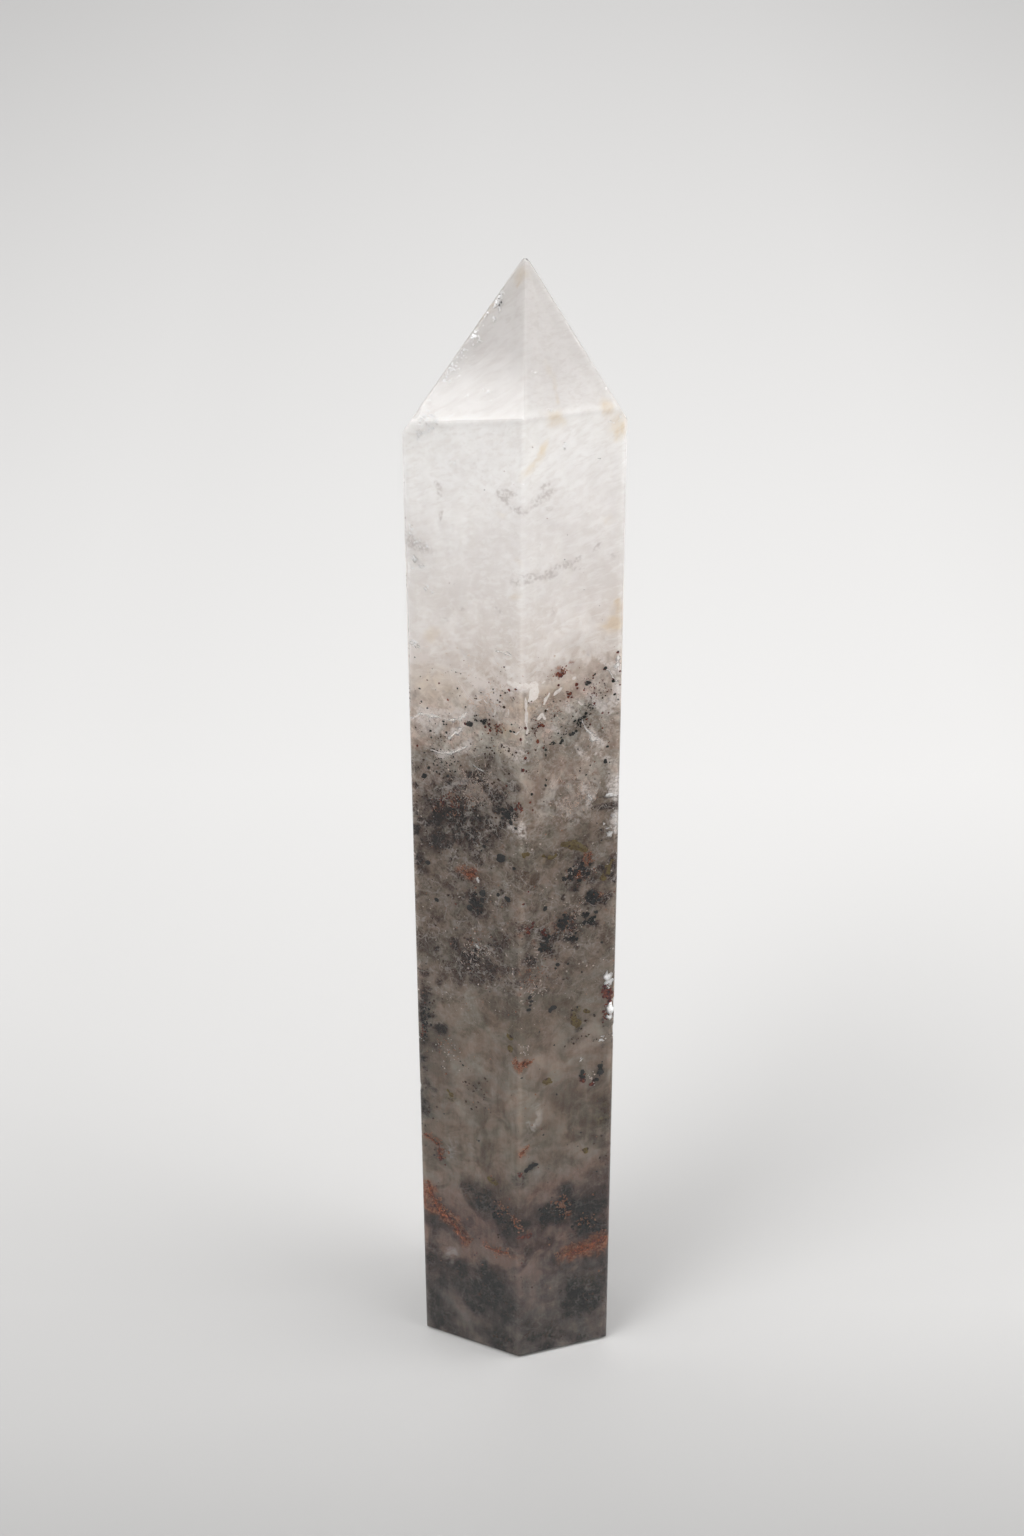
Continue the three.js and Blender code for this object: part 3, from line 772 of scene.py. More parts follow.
# Strands that the front shows: a path of (across, up), then its width and raggedness. Rust also stains
# the heart behind it, the more so the more ragged the strand is.
RUST_VEINS = [
    ([(-12.2, 24.6), (-11.9, 22.6), (-11.2, 21.2), (-10.2, 20.4)], 0.55, 0.8),
    ([(-10.4, 20.8), (-9.4, 19.8), (-8.4, 19.4)], 0.7, 0.9),
    ([(-8.6, 19.4), (-7.7, 18.4), (-7.3, 17.2), (-6.4, 16.8)], 0.5, 1),
    ([(-4, 16.8), (-2.4, 16.6), (-0.8, 16.8)], 0.4, 0.6),
    ([(6.8, 15.4), (8.4, 15.8), (10.4, 16.3), (12.4, 17.2)], 0.9, 0.6),
    ([(8.4, 15.3), (10.8, 15.8), (12.3, 16.5)], 0.5, 0.8),
    ([(-12, 31.9), (-11, 31.5), (-9.9, 30.8), (-9.7, 29)], 0.35, 0.8),
    ([(9.3, 76.1), (9.5, 75.4), (9.2, 74.8)], 0.4, 0.7),
    ([(0.2, 47.2), (1, 46.9), (2.2, 47.1)], 0.4, 1.4), ([(0.4, 46.6), (0.6, 46)], 0.35, 1),
    ([(1.9, 34), (0.9, 33.2), (0.7, 32.6)], 0.25, 1),
    ([(-6.4, 73.4), (-5.6, 73), (-4.8, 73.3)], 0.45, 1.4), ([(-5.6, 72.8), (-5.2, 72)], 0.3, 1),
    ([(7.8, 73.7), (8.4, 73.4)], 0.35, 1), ([(10.3, 70.1), (10.8, 69.7)], 0.2, 1),
    ([(6.6, 21.6), (7.6, 22)], 0.2, 1), ([(-0.2, 23.4), (0.4, 22.2), (0.8, 21)], 0.2, 1.2),
]
WHITE_LINES = [
    ([(-10.4, 89.3), (-9.2, 89.2), (-8, 89.4), (-6.6, 90.2), (-5.7, 91)], 0.22, 0.5),
    ([(-12.8, 93), (-11.6, 93.9), (-9.8, 94.1), (-8, 93.9)], 0.2, 1),
    ([(-8, 93.9), (-6.8, 94.4), (-5.6, 95.6)], 0.25, 1),
    ([(-8.2, 91.4), (-7.2, 92.4), (-6.4, 93.2)], 0.3, 1.2),
    ([(-12.9, 103.4), (-12.2, 103.2), (-11.4, 103)], 0.3, 1),
    ([(8.4, 95), (8.9, 93.6), (9.8, 92.4), (10.6, 91.8)], 0.22, 0.8),
    ([(9.3, 92.8), (9.7, 92.1), (10.1, 92)], 0.3, 0.8),
    ([(12.7, 103), (12.6, 101.8), (12.4, 101.2)], 0.3, 0.8), ([(-4.9, 63.2), (-4.4, 62.6)], 0.3, 0.6),
    ([(-4.6, 73), (-4.4, 72.2)], 0.3, 0.6), ([(-2.2, 104.6), (-1, 104.7), (-0.2, 104.5)], 0.16, 1.6),
    ([(5.9, 131.4), (5.9, 130.4)], 0.2, 0.5), ([(-5.2, 88.8), (-3.8, 88)], 0.12, 1),
    ([(11.2, 101.4), (12.6, 99.4)], 0.12, 1.6), ([(11.6, 78.2), (12.4, 78.9), (13, 78.4)], 0.25, 1.4),
    ([(9.2, 84.6), (9.6, 83.8), (9.2, 83.2)], 0.25, 1.2),
]
CREAM_VEINS = [
    ([(-12.6, 92.9), (-11.6, 93.9), (-9.8, 94.2), (-8, 93.9), (-6.6, 94.5)], 0.2, 1),
    ([(-10.2, 89.4), (-9, 89.2), (-7.6, 89.6), (-6.2, 90.6)], 0.18, 0.6),
    ([(9.2, 93.4), (9.8, 92.4), (10.6, 91.9)], 0.16, 1),
    ([(-0.9, 100.9), (0.4, 100.7), (1.6, 100.7), (2.6, 100.9)], 0.8, 0.6),
    ([(2.3, 101.2), (2.5, 100.2), (2.3, 99.2), (1.9, 98.5)], 1.25, 0.35),
    ([(1.4, 99.2), (1.45, 97.6), (1.5, 96), (1.6, 94.8), (1.5, 94.2)], 0.42, 0.5),
    ([(-0.2, 94.3), (0.3, 94.2), (0.7, 94.7)], 0.2, 1),
    ([(3.6, 97.9), (4.1, 98.9), (4.3, 99.4)], 0.42, 0.7),
    ([(4.8, 98.9), (5.4, 99.4), (5.8, 99.9)], 0.4, 0.8), ([(2.9, 96), (3.4, 96.6), (3.8, 95.9)], 0.45, 1),
    ([(3.3, 100.7), (3.8, 101)], 0.35, 0.6), ([(7.2, 101), (7.4, 100.7)], 0.5, 0.4),
    ([(4, 97.3), (4.1, 97.1)], 0.26, 0.3), ([(1.6, 93.3), (1.6, 93.1)], 0.28, 0.2),
    ([(-2.4, 98.4), (-2.2, 97.2), (-2.4, 96)], 0.16, 1.4), ([(-0.7, 97.4), (-0.6, 96.6)], 0.18, 0.8),
    ([(-6.8, 99.6), (-6, 98.4), (-5.4, 97.6)], 0.14, 1.4),
    ([(-4.6, 97.4), (-3.8, 98), (-3.2, 97.4)], 0.2, 1.6), ([(7.8, 97.6), (8.4, 97)], 0.3, 0.8),
    ([(8.7, 100), (9.1, 99.7)], 0.2, 0.8),
]
OLIVE_FLAKES = [
    ([(5.8, 78.3), (7.2, 77.9), (8.4, 77.3), (9.2, 76.7)], 0.85, 0.3), ([(1, 77.6), (2, 77.7)], 0.5, 0.9),
    ([(3.6, 77), (4.6, 76.5), (5.4, 76.9)], 0.4, 1.2), ([(-0.9, 51.2), (-0.3, 50.4)], 0.5, 0.9),
    ([(-0.4, 50.2), (0.6, 49.6), (1.8, 48.8), (3, 47.6)], 0.85, 0.4),
    ([(-0.6, 49.4), (-0.3, 48.4)], 0.4, 0.9), ([(3.7, 43.7), (4.6, 43.6), (5, 43.3)], 0.6, 0.5),
    ([(7.4, 53.2), (7.9, 52), (8.3, 51)], 0.9, 0.7), ([(9.4, 32), (9.5, 31.2)], 0.8, 0.5),
    ([(9, 53.4), (9.8, 52.8)], 0.4, 1), ([(-8.8, 40), (-8, 39)], 0.6, 0.9),
    ([(-3.4, 28.2), (-2.2, 27.2)], 0.6, 0.9), ([(12.4, 74.8), (11.6, 73), (11, 72)], 0.7, 0.8),
]
# Strokes painted on the heart: a path of (across, up), then its width and strength
PALE_STROKES = [
    ([(-11.2, 8.2), (-9.6, 6.6), (-8.2, 5.2), (-6.4, 4), (-4.6, 2.4)], 1, 0.3),
    ([(-12.4, 8.6), (-11.2, 7.6), (-10, 6.2), (-8.8, 5.6), (-7.6, 4.3), (-6.2, 3.4)], 0.3, 0.6),
    ([(1, 10.2), (3.8, 7.4), (5.4, 5.4), (6.9, 4)], 0.4, 0.5),
    ([(-12.8, 92.8), (-11.2, 94.1), (-8.8, 94.2), (-6.4, 94.8), (-5.2, 96)], 0.7, 1),
    ([(-5.4, 95.6), (-6.4, 93.4), (-8.2, 91.6)], 0.5, 1),
    ([(-10.6, 89.4), (-8.6, 89.2), (-6.6, 90.2), (-5.4, 91.4)], 0.4, 1),
    ([(9.4, 93.4), (10.2, 92), (11, 91.2)], 0.6, 1),
    ([(-0.8, 100.8), (0.8, 100.6), (2.2, 100.4)], 0.7, 1), ([(2.4, 100.2), (2.3, 98.8)], 0.7, 1),
    ([(-4.6, 100.6), (-3, 99.2), (-2, 98)], 1, 1),
    ([(-12.6, 102.4), (-11.4, 101.4), (-10.6, 101.6)], 1, 1),
    ([(12.7, 86), (12.8, 83), (12.9, 80)], 0.9, 1), ([(12.6, 98.6), (12.4, 96.8)], 0.6, 1),
    ([(-2, 92), (0.6, 91.4)], 0.6, 1), ([(8.8, 85.4), (9.6, 84), (9.4, 83)], 0.35, 1),
    ([(-8.4, 84.4), (-6.8, 85.2), (-5.8, 86.6)], 0.5, 1), ([(5.8, 15), (2, 14.4), (-1, 13.4)], 1.4, 0.28),
    ([(10, 13.4), (12, 12.6)], 1.2, 0.36), ([(-9.6, 27.4), (-6, 26.8), (-3.6, 28.6)], 1.2, 0.3),
    ([(0.6, 36), (2, 32), (3.4, 29)], 1.6, 0.3), ([(-6.5, 101.8), (-3.5, 98.5)], 0.5, 0.9),
    ([(-7.5, 99.8), (-5, 96.5)], 0.45, 0.9), ([(-3, 102.2), (-0.5, 99.6)], 0.5, 0.9),
    ([(2.8, 98.2), (3.6, 96.2)], 0.3, 0.9), ([(6, 97.8), (7.6, 95.8)], 0.4, 0.8),
    ([(9.2, 98), (11.6, 95)], 0.45, 0.9), ([(10, 103.4), (12.6, 101)], 0.6, 0.9),
    ([(-9.8, 96.4), (-6.6, 95.4)], 0.4, 0.7), ([(-2.8, 96.8), (-1.8, 94.8)], 0.3, 0.8),
    ([(4.4, 94.8), (6.4, 93.4)], 0.3, 0.7), ([(9.6, 90.8), (12.2, 88.4)], 0.4, 0.7),
    ([(7.4, 91.6), (9.4, 89.2)], 0.3, 0.6), ([(-11.6, 99.8), (-8.8, 96.8)], 0.35, 0.6),
    ([(-1.8, 99.4), (-1, 96.8)], 0.3, 0.8), ([(0.2, 98.8), (0.6, 96.2)], 0.25, 0.7),
    ([(-4, 86.8), (-1.2, 84.4)], 0.3, 0.6), ([(-9.8, 85.6), (-6.2, 83.4)], 0.3, 0.5),
    ([(4.6, 84.8), (8, 80.8)], 0.3, 0.5), ([(0.4, 82), (1.6, 79.8)], 0.3, 0.8),
    ([(-1.2, 81.4), (0.8, 80.6)], 0.25, 0.8),
]
GREY_WISPS = [
    ([(-1.8, 124.9), (-1, 124.2), (-0.2, 123.7), (0.8, 123.5), (2, 123.4)], 0.34, 1.2),
    ([(2.2, 124), (3, 124.6), (3.9, 124.9)], 0.5, 0.9),
    ([(3.4, 126), (4.2, 126.2), (4.8, 126)], 0.34, 0.9), ([(3.6, 123.4), (4.6, 123.2)], 0.16, 1.2),
    ([(-2.2, 125.3), (-1, 125.2), (0.2, 125.4)], 0.2, 1.4),
    ([(7.9, 116.8), (6.6, 115.9), (5.2, 115.5), (4.2, 115)], 0.3, 1.2),
    ([(4.6, 115.4), (3, 114.8), (1.6, 114.4), (-0.4, 114.2)], 0.32, 1.4),
    ([(8.4, 115.2), (7, 115.2), (6, 115.6)], 0.24, 1.4),
    ([(2.6, 115.2), (0.6, 115.2), (-0.2, 115)], 0.2, 1.6),
    ([(-12.9, 117.4), (-12, 116.8), (-10.4, 115.9)], 0.7, 1.6),
    ([(-12.8, 116.4), (-11.4, 116.2)], 0.4, 1.6),
    ([(-10.4, 120.4), (-9.2, 121.4), (-8.1, 122.4)], 0.14, 0.4),
    ([(-9.4, 124.6), (-9, 123.7), (-9.2, 123)], 0.26, 1.2), ([(-8.8, 121), (-8.9, 120.2)], 0.26, 1),
    ([(-4.9, 128.4), (-4.3, 127.6), (-3.9, 127.3)], 0.16, 0.6),
    ([(-2.2, 110.2), (-1.4, 109.8)], 0.2, 0.8), ([(-6.6, 109.2), (-6.2, 109.1)], 0.24, 1),
    ([(-8.9, 107.6), (-8.3, 107.1), (-8, 106.8)], 0.3, 0.8), ([(-9.8, 108), (-9.4, 107.8)], 0.2, 0.8),
    ([(-12.2, 129.2), (-11.8, 128.8)], 0.24, 0.8),
    ([(9.8, 118.6), (10.2, 117.8), (9.8, 117.4)], 0.14, 1.6), ([(11.6, 116.4), (12.2, 115.6)], 0.16, 1.6),
    ([(5, 110.2), (4.6, 109.6)], 0.16, 1.4), ([(9, 104.6), (9.2, 103.4)], 0.16, 1),
    ([(-9.2, 97.6), (-8, 96.6), (-6.8, 96.4)], 0.2, 1.4), ([(10.8, 134.9), (11.3, 134.2)], 0.2, 0.6),
]
LIMONITE = [
    ([(1.4, 149), (1, 148.3), (0.6, 147.5)], 0.25, 0.6), ([(-2.6, 144.7), (-3.2, 144.2)], 0.35, 0.8),
    ([(-3.6, 144.2), (-4.4, 143), (-4.9, 142.2)], 0.26, 0.6), ([(4.7, 138.8), (4.7, 137.4)], 0.14, 0.6),
    ([(4.8, 137.2), (4.9, 136)], 0.1, 0.6), ([(4.2, 134.6), (4.9, 134.2), (5.1, 134.6)], 0.5, 1),
    ([(3.6, 131.2), (3.2, 130.4)], 0.3, 0.8), ([(3.2, 130.4), (2.4, 129.2)], 0.12, 0.7),
    ([(2.2, 129), (1, 127.6)], 0.3, 0.6), ([(10.4, 135.6), (11, 134.6), (11.4, 134)], 0.3, 0.7),
    ([(12.5, 132.2), (12.4, 131.2)], 0.35, 0.9), ([(12, 135.9), (12.6, 134.9)], 0.2, 0.9),
    ([(11.4, 107.2), (12, 107)], 0.5, 1), ([(12.2, 110), (12.6, 108.8)], 0.2, 1.2),
    ([(0.3, 117), (0.5, 116.9)], 0.26, 0.3), ([(0, 112.4), (0.2, 112.4)], 0.22, 0.3),
    ([(-1.8, 122.6), (-1.6, 122.5)], 0.22, 0.3), ([(3.8, 139.6), (3.9, 139.4)], 0.3, 0.4),
    ([(11, 121), (11.2, 120.8)], 0.24, 0.4),
]


def spots_of(name, rows):
    """The seen and unseen spots of one kind, each with its place, size and strength. Smoke, olive and
    rust spots are broken up into tufts."""
    spots = []
    for across, up, wide, high, lean, strength in rows:
        spots.append((seen(across, up, SPOT_DEPTH, lean), (wide, high, 4.0), strength))
    for count, low, high, smallest, largest, strength in UNSEEN[name]:
        for _ in range(count):
            size = rng.uniform(smallest, largest)
            at = rng.uniform(*HIDDEN_SIDES), rng.uniform(low, high)
            place = hidden(*at, SPOT_DEPTH, rng.uniform(-60, 60))
            sizes = (size, size * rng.uniform(0.4, 1.2), 5.0)
            spots.append((place, sizes, strength * rng.uniform(0.7, 1.2)))
    if name in ("smoke", "olive", "rust"):
        return [tuft for spot in spots for tuft in tufts_of(spot)]
    return spots


def strokes_of(rows, widening):
    """The spots of all the rows' strokes. The heart lies deeper than what is on it, so each is painted
    wider."""
    spots = []
    for path, width, strength in rows:
        spots += stroke(path, widening * width + 0.25, min(1, strength))
    return spots


SPOTS = {
    "smoke": spots_of("smoke", SMOKE),
    "olive": spots_of("olive", OLIVE),
    "rust": spots_of("rust", RUST) + strokes_of(RUST_VEINS, 1.9),
    "milk": spots_of("milk", MILK),
    "ochre": spots_of("ochre", OCHRE) + strokes_of(LIMONITE, 1.5),
    "grey": spots_of("grey", []) + strokes_of(GREY_WISPS, 1.5),
    "pale": spots_of("pale", []) + strokes_of(PALE_STROKES, 1.2),
}


def softened(values, up):
    """Values on rows and columns of points, smoothed more and more towards the foot."""
    smooth = values
    for _ in range(5):
        smooth = (np.roll(smooth, 1, 1) + 2 * smooth + np.roll(smooth, -1, 1)) / 4
        padded = np.pad(smooth, ((1, 1), (0, 0)), "edge")
        smooth = (padded[:-2] + 2 * smooth + padded[2:]) / 4
    share = np.clip((56 - up) / 26, 0, 1)
    return values + (smooth - values) * share


def quartz_heart(rows=420, columns=220):
    """The cloudy heart. Each of its points says how much smoke, olive, rust, milk, ochre, grey and pale
    it holds, and how much painted shade it gets as part of the tip."""
    up = np.linspace(0.2, APEX[2] - 0.35, rows)[:, None]
    facing = np.linspace(0, 360, columns, endpoint=False)[None, :]
    on_skin = skin(facing, up, 0.0).reshape(-1, 3)
    depths = heart_depth(on_skin).reshape(rows, columns)
    points = skin(facing, up, depths).reshape(-1, 3)
    piece = make_piece("quartz_heart", points, closed_lattice(rows, columns), cloudy_quartz())
    for name, spots in SPOTS.items():
        values = softened(held(points, spots).reshape(rows, columns), up).astype(np.float32)
        piece.data.attributes.new(name, "FLOAT", "POINT").data.foreach_set("value", values.ravel())
    rooms = OFFSETS - points @ NORMALS.T
    # Painted shade for the tip's facets, weaker near the shoulder
    painted_tip_shade = np.clip(0.5 + (rooms[:, ~IN_TIP].min(1) - rooms[:, IN_TIP].min(1)) / 1.2, 0, 1)
    painted_tip_shade *= 0.55 + 0.45 * np.clip((points[:, 2] - SHOULDER - 1) / 8, 0, 1)
    piece.data.attributes.new("tip", "FLOAT", "POINT").data.foreach_set("value", painted_tip_shade.astype(np.float32))


# The most crumbs of moss in one piece
MOST_MOSS = 9500


def chlorite_moss():
    """Dark crumbs of chlorite that fill the smoky spots, in two pieces: those that the front shows, and
    the rest. Real crumbs are mostly too fine to show, so these are coarser and fewer."""
    colours = ["352D29", "463C36", "3A312D", "51463F", "322B28"]
    material = mineral("chlorite moss as grown", colours, 0.3, 0.7)
    shown = [spot for spot in SPOTS["smoke"] if spot[0][1][2][1] > 0.3]
    others = [spot for spot in SPOTS["smoke"] if spot[0][1][2][1] <= 0.3]
    for name, spots in (("front", shown), ("back", others)):
        places = []
        for place, (wide, high, _), strength in spots:
            count = int(wide * high * strength * 0.6) + 2
            places.append(gathered(place, 1.1 * wide, 1.1 * high, count))
        places = rng.permutation(np.concatenate(places))[:MOST_MOSS]
        sizes = 0.08 + 0.34 * rng.uniform(0, 1, len(places)) ** 3
        make_piece("chlorite_moss_" + name, *grains(*sunk(places, sizes)), material, smooth=False)


# Single grains that the front shows: across, up and size
BLACK = [
    (-5.4, 94.1, 0.75), (-5.7, 94, 0.4), (-4, 94.9, 0.35), (-3.7, 94.7, 0.4), (-4.6, 94.8, 0.25),
    (-3.6, 95.1, 0.3), (-8.7, 93.6, 0.25), (-8.3, 92.2, 0.3), (-10.3, 91.9, 0.3), (-0.4, 94.4, 0.3),
    (0, 94.4, 0.25), (8.9, 99.8, 0.5), (9.2, 99.9, 0.35), (11.3, 88.8, 0.5), (11.5, 90.8, 0.3),
    (7.2, 93.3, 0.45), (7.6, 93.6, 0.35), (6.9, 93.2, 0.35), (7.4, 95, 0.3), (8.8, 95.8, 0.35),
    (8.6, 95.4, 0.3), (5.9, 92.6, 0.4), (5.7, 92.3, 0.3), (3.9, 91.7, 0.3), (11.1, 101.5, 0.4),
    (12.1, 99.6, 0.35), (12.3, 97.8, 0.3), (-11.2, 85.4, 0.65), (-10.6, 86.7, 0.35), (-8.2, 86.2, 0.4),
    (-9.6, 86.4, 0.25), (-12.9, 83.6, 0.4), (-1.7, 76.5, 1), (-1.5, 76.6, 0.8), (0, 75.5, 0.4),
    (-3.7, 77.6, 0.4), (-3.9, 70.8, 0.8), (-4, 69.8, 0.6), (-4.9, 69, 0.6), (-5.6, 68.2, 0.7),
    (-4.6, 68, 0.4), (-9.8, 68.1, 0.5), (-10.9, 73.2, 0.6), (-0.8, 70.9, 0.7), (-2, 71.2, 0.4),
    (3.9, 69.4, 0.6), (5.6, 60.9, 0.45), (5.3, 60.4, 0.3), (2, 56.8, 0.5), (2.2, 56.2, 0.4),
    (1.9, 55, 0.45), (2.1, 55.6, 0.3), (5, 54.6, 0.7), (4.6, 54.3, 0.5), (2.2, 85.9, 0.3),
    (3.9, 86.8, 0.3), (11.2, 63, 0.3), (7, 74.4, 0.5), (7.8, 74, 0.6), (8.6, 74.9, 0.45),
    (9.3, 73.4, 0.5), (6.2, 73.2, 0.4), (8.2, 72.6, 0.5), (9.6, 70.6, 0.6), (10.4, 70, 0.6),
    (10, 69.2, 0.7), (10.7, 69.3, 0.4), (9, 67.4, 0.4), (10.2, 66.9, 0.4), (8.9, 66.4, 0.5),
    (9.8, 66, 0.4), (10.4, 67.6, 0.4), (6.6, 67.4, 0.5), (6, 66.4, 0.4), (4.2, 64.6, 0.5),
    (-1.4, 83.4, 0.5), (-0.8, 82.6, 0.6), (-0.4, 81.8, 0.5), (-1.4, 82.2, 0.4), (0.2, 81.2, 0.35),
    (-0.2, 83.6, 0.35), (-1.6, 146, 0.2), (-1.8, 145.6, 0.18), (-1.5, 145.3, 0.2), (-1.75, 145, 0.16),
    (-8.3, 93.3, 0.2), (8.9, 44, 0.6), (9, 43.2, 0.5), (11.2, 44.4, 0.6), (11.3, 43.4, 0.7),
    (10.8, 42.4, 0.5), (2.2, 30.8, 0.7), (1.6, 30.4, 0.6), (2.9, 31, 0.5), (0.8, 29.7, 0.6),
    (4, 23.4, 0.7), (3.8, 22.2, 0.7), (9.4, 19.4, 0.6), (10.6, 19.8, 0.6), (6.2, 24.6, 0.4),
    (7.4, 23, 0.5), (5.6, 22.4, 0.4), (8.4, 21, 0.5), (11.4, 18.4, 0.5),
]
RED = [
    (7.6, 99.9, 0.45), (7.7, 99.4, 0.3), (6.8, 98.8, 0.4), (6.6, 98.4, 0.3), (7, 98.3, 0.25),
    (12.1, 99.9, 0.3), (11, 101.4, 0.3), (5.6, 101.5, 0.4), (5.3, 101.8, 0.3), (6, 101.6, 0.25),
    (5.4, 100.2, 0.25), (6.3, 102.6, 0.2), (3.3, 95.2, 0.4), (3.6, 95, 0.3), (3, 95.1, 0.25),
    (2.9, 93, 0.4), (1.4, 95.1, 0.35), (0.8, 93.6, 0.3), (-2.9, 93.9, 0.35), (-3, 94.7, 0.3),
    (-3.5, 94.2, 0.3), (-8.1, 96.7, 0.25), (-6, 94, 0.3), (0.8, 90.9, 0.35), (1.4, 91, 0.35),
    (1.1, 89.4, 0.4), (1.5, 89.2, 0.25), (0.8, 83.6, 0.45), (0.2, 83.9, 0.4), (0.6, 84.8, 0.3),
    (-0.9, 86.8, 0.25), (2, 84.8, 0.25), (1.2, 70.6, 0.3), (2.4, 67.6, 0.4), (1.8, 66.4, 0.5),
    (3.6, 92, 0.25), (8.9, 95, 0.25), (9.8, 97, 0.25), (9.3, 94.2, 0.25), (8.5, 99, 0.2),
    (9.6, 100.4, 0.2), (2.1, 98.6, 0.25), (-12, 89.4, 0.3), (0.2, 100.2, 0.25), (-0.6, 99.9, 0.3),
    (12.6, 103.4, 0.3), (12.9, 100.8, 0.2), (11.7, 56.4, 0.6), (12.3, 55.8, 0.5), (12.2, 54.6, 0.6),
    (11.6, 54.9, 0.5), (11.4, 55.7, 0.5), (12.5, 55.2, 0.4), (11.9, 55.2, 0.9), (12.3, 54, 0.5),
    (12, 53.4, 0.6), (11.6, 52.6, 0.4), (9, 42.5, 0.4), (9.2, 43.6, 0.3), (10.2, 41.8, 0.5),
    (0.7, 29.3, 0.5), (-9.8, 28.8, 0.5), (-9.9, 29.6, 0.3), (1.2, 19.8, 0.5), (2, 19.6, 0.4),
    (-8.6, 19.6, 0.5), (-7.6, 18.2, 0.5), (10.8, 16.6, 0.5), (11.8, 17, 0.5), (8, 15.6, 0.4),
    (-10.6, 20.8, 0.4),
]
# Groups of grains that the front shows: across, up, width, height, lean, how many, and their smallest and
# largest
BLACK_GROUPS = [
    (-3, 94.4, 3.4, 2, 0, 24, 0.12, 0.3), (8, 94.6, 1.4, 5.4, 45, 60, 0.1, 0.34),
    (9.6, 96.6, 4, 3, 0, 24, 0.1, 0.22), (5.4, 92.6, 3, 0.9, -20, 18, 0.12, 0.3),
    (-0.6, 82.9, 1.8, 2.2, 20, 40, 0.25, 0.5), (8, 73.6, 4.2, 2, -20, 70, 0.25, 0.6),
    (10, 69.6, 2.2, 2, 0, 40, 0.3, 0.65), (9.5, 66.8, 2.6, 1.8, 0, 40, 0.25, 0.6),
    (6.4, 66.8, 2, 3, 25, 26, 0.25, 0.6), (4, 64.1, 1.8, 2.2, 0, 26, 0.25, 0.6),
    (7.4, 64.2, 1.6, 1.8, 0, 20, 0.25, 0.6), (-4.9, 69, 2.4, 3.2, 20, 30, 0.2, 0.5),
    (-9, 88, 7, 6, 0, 60, 0.1, 0.3), (6.5, 22.6, 3.4, 3.4, 0, 60, 0.25, 0.6),
    (9.8, 19.6, 3.6, 3.2, 0, 60, 0.25, 0.65), (3.9, 22.5, 1, 2.6, 0, 24, 0.3, 0.6),
    (-2, 22.6, 3.4, 3.4, 0, 40, 0.25, 0.6), (2.3, 30.6, 1.4, 0.7, -20, 26, 0.25, 0.5),
    (-11.6, 50, 1.6, 9, 0, 60, 0.2, 0.5), (9, 43.6, 0.9, 1.4, 0, 18, 0.25, 0.5),
    (11.4, 43.8, 0.9, 2, 10, 22, 0.25, 0.5),
]
RED_GROUPS = [
    (6.9, 98.6, 1.2, 1, 0, 14, 0.1, 0.25), (5.8, 101.6, 1.6, 1.2, 0, 20, 0.1, 0.3),
    (2.4, 94.4, 3.4, 2.6, 0, 26, 0.1, 0.25), (-2.6, 94, 3.4, 2, 0, 26, 0.1, 0.3),
    (10, 99, 5, 4, 0, 40, 0.1, 0.25), (0.6, 84, 1.4, 1.8, 0, 24, 0.15, 0.35),
    (-8.4, 82.4, 4, 2.4, -40, 60, 0.1, 0.3), (12, 55.2, 1.2, 1.4, 0, 30, 0.3, 0.5),
    (12, 51.6, 1, 2.4, 0, 24, 0.2, 0.5), (9, 42.8, 0.8, 1.4, 0, 14, 0.25, 0.5),
    (10.6, 42.2, 1, 2, 40, 24, 0.25, 0.5), (0.8, 29.6, 0.9, 1.2, 0, 20, 0.25, 0.5),
    (-9.8, 28.7, 0.7, 1, 0, 16, 0.25, 0.45), (3.8, 65.9, 1, 1.2, 0, 14, 0.25, 0.5),
    (2, 66.9, 1.6, 1.4, 0, 16, 0.2, 0.4), (1.4, 19.7, 2.2, 0.9, 0, 26, 0.25, 0.5),
    (-12, 47.6, 1, 4, 0, 20, 0.2, 0.4),
]
RUST_GROUPS = [
    (6.4, 23.6, 3.6, 3, 0, 60, 0.2, 0.45), (9.8, 20, 3.6, 2.6, 0, 50, 0.2, 0.45),
    (-1.6, 23.4, 3, 3, 0, 30, 0.2, 0.4), (2, 60, 8, 6, 0, 90, 0.08, 0.24),
    (6.8, 66.6, 6, 5, 0, 70, 0.08, 0.26), (-4.6, 63, 6, 4, 0, 40, 0.08, 0.24),
    (-8, 82.4, 7, 4, -35, 90, 0.08, 0.3), (8.2, 73.2, 5, 3, 0, 40, 0.1, 0.26),
    (5.6, 101.6, 3, 2, 0, 40, 0.08, 0.3), (5, 96.4, 4, 2.4, 30, 30, 0.08, 0.24),
    (-2.4, 94.6, 4, 2.4, 0, 30, 0.08, 0.24), (-9, 46, 6, 8, 0, 40, 0.1, 0.24),
]
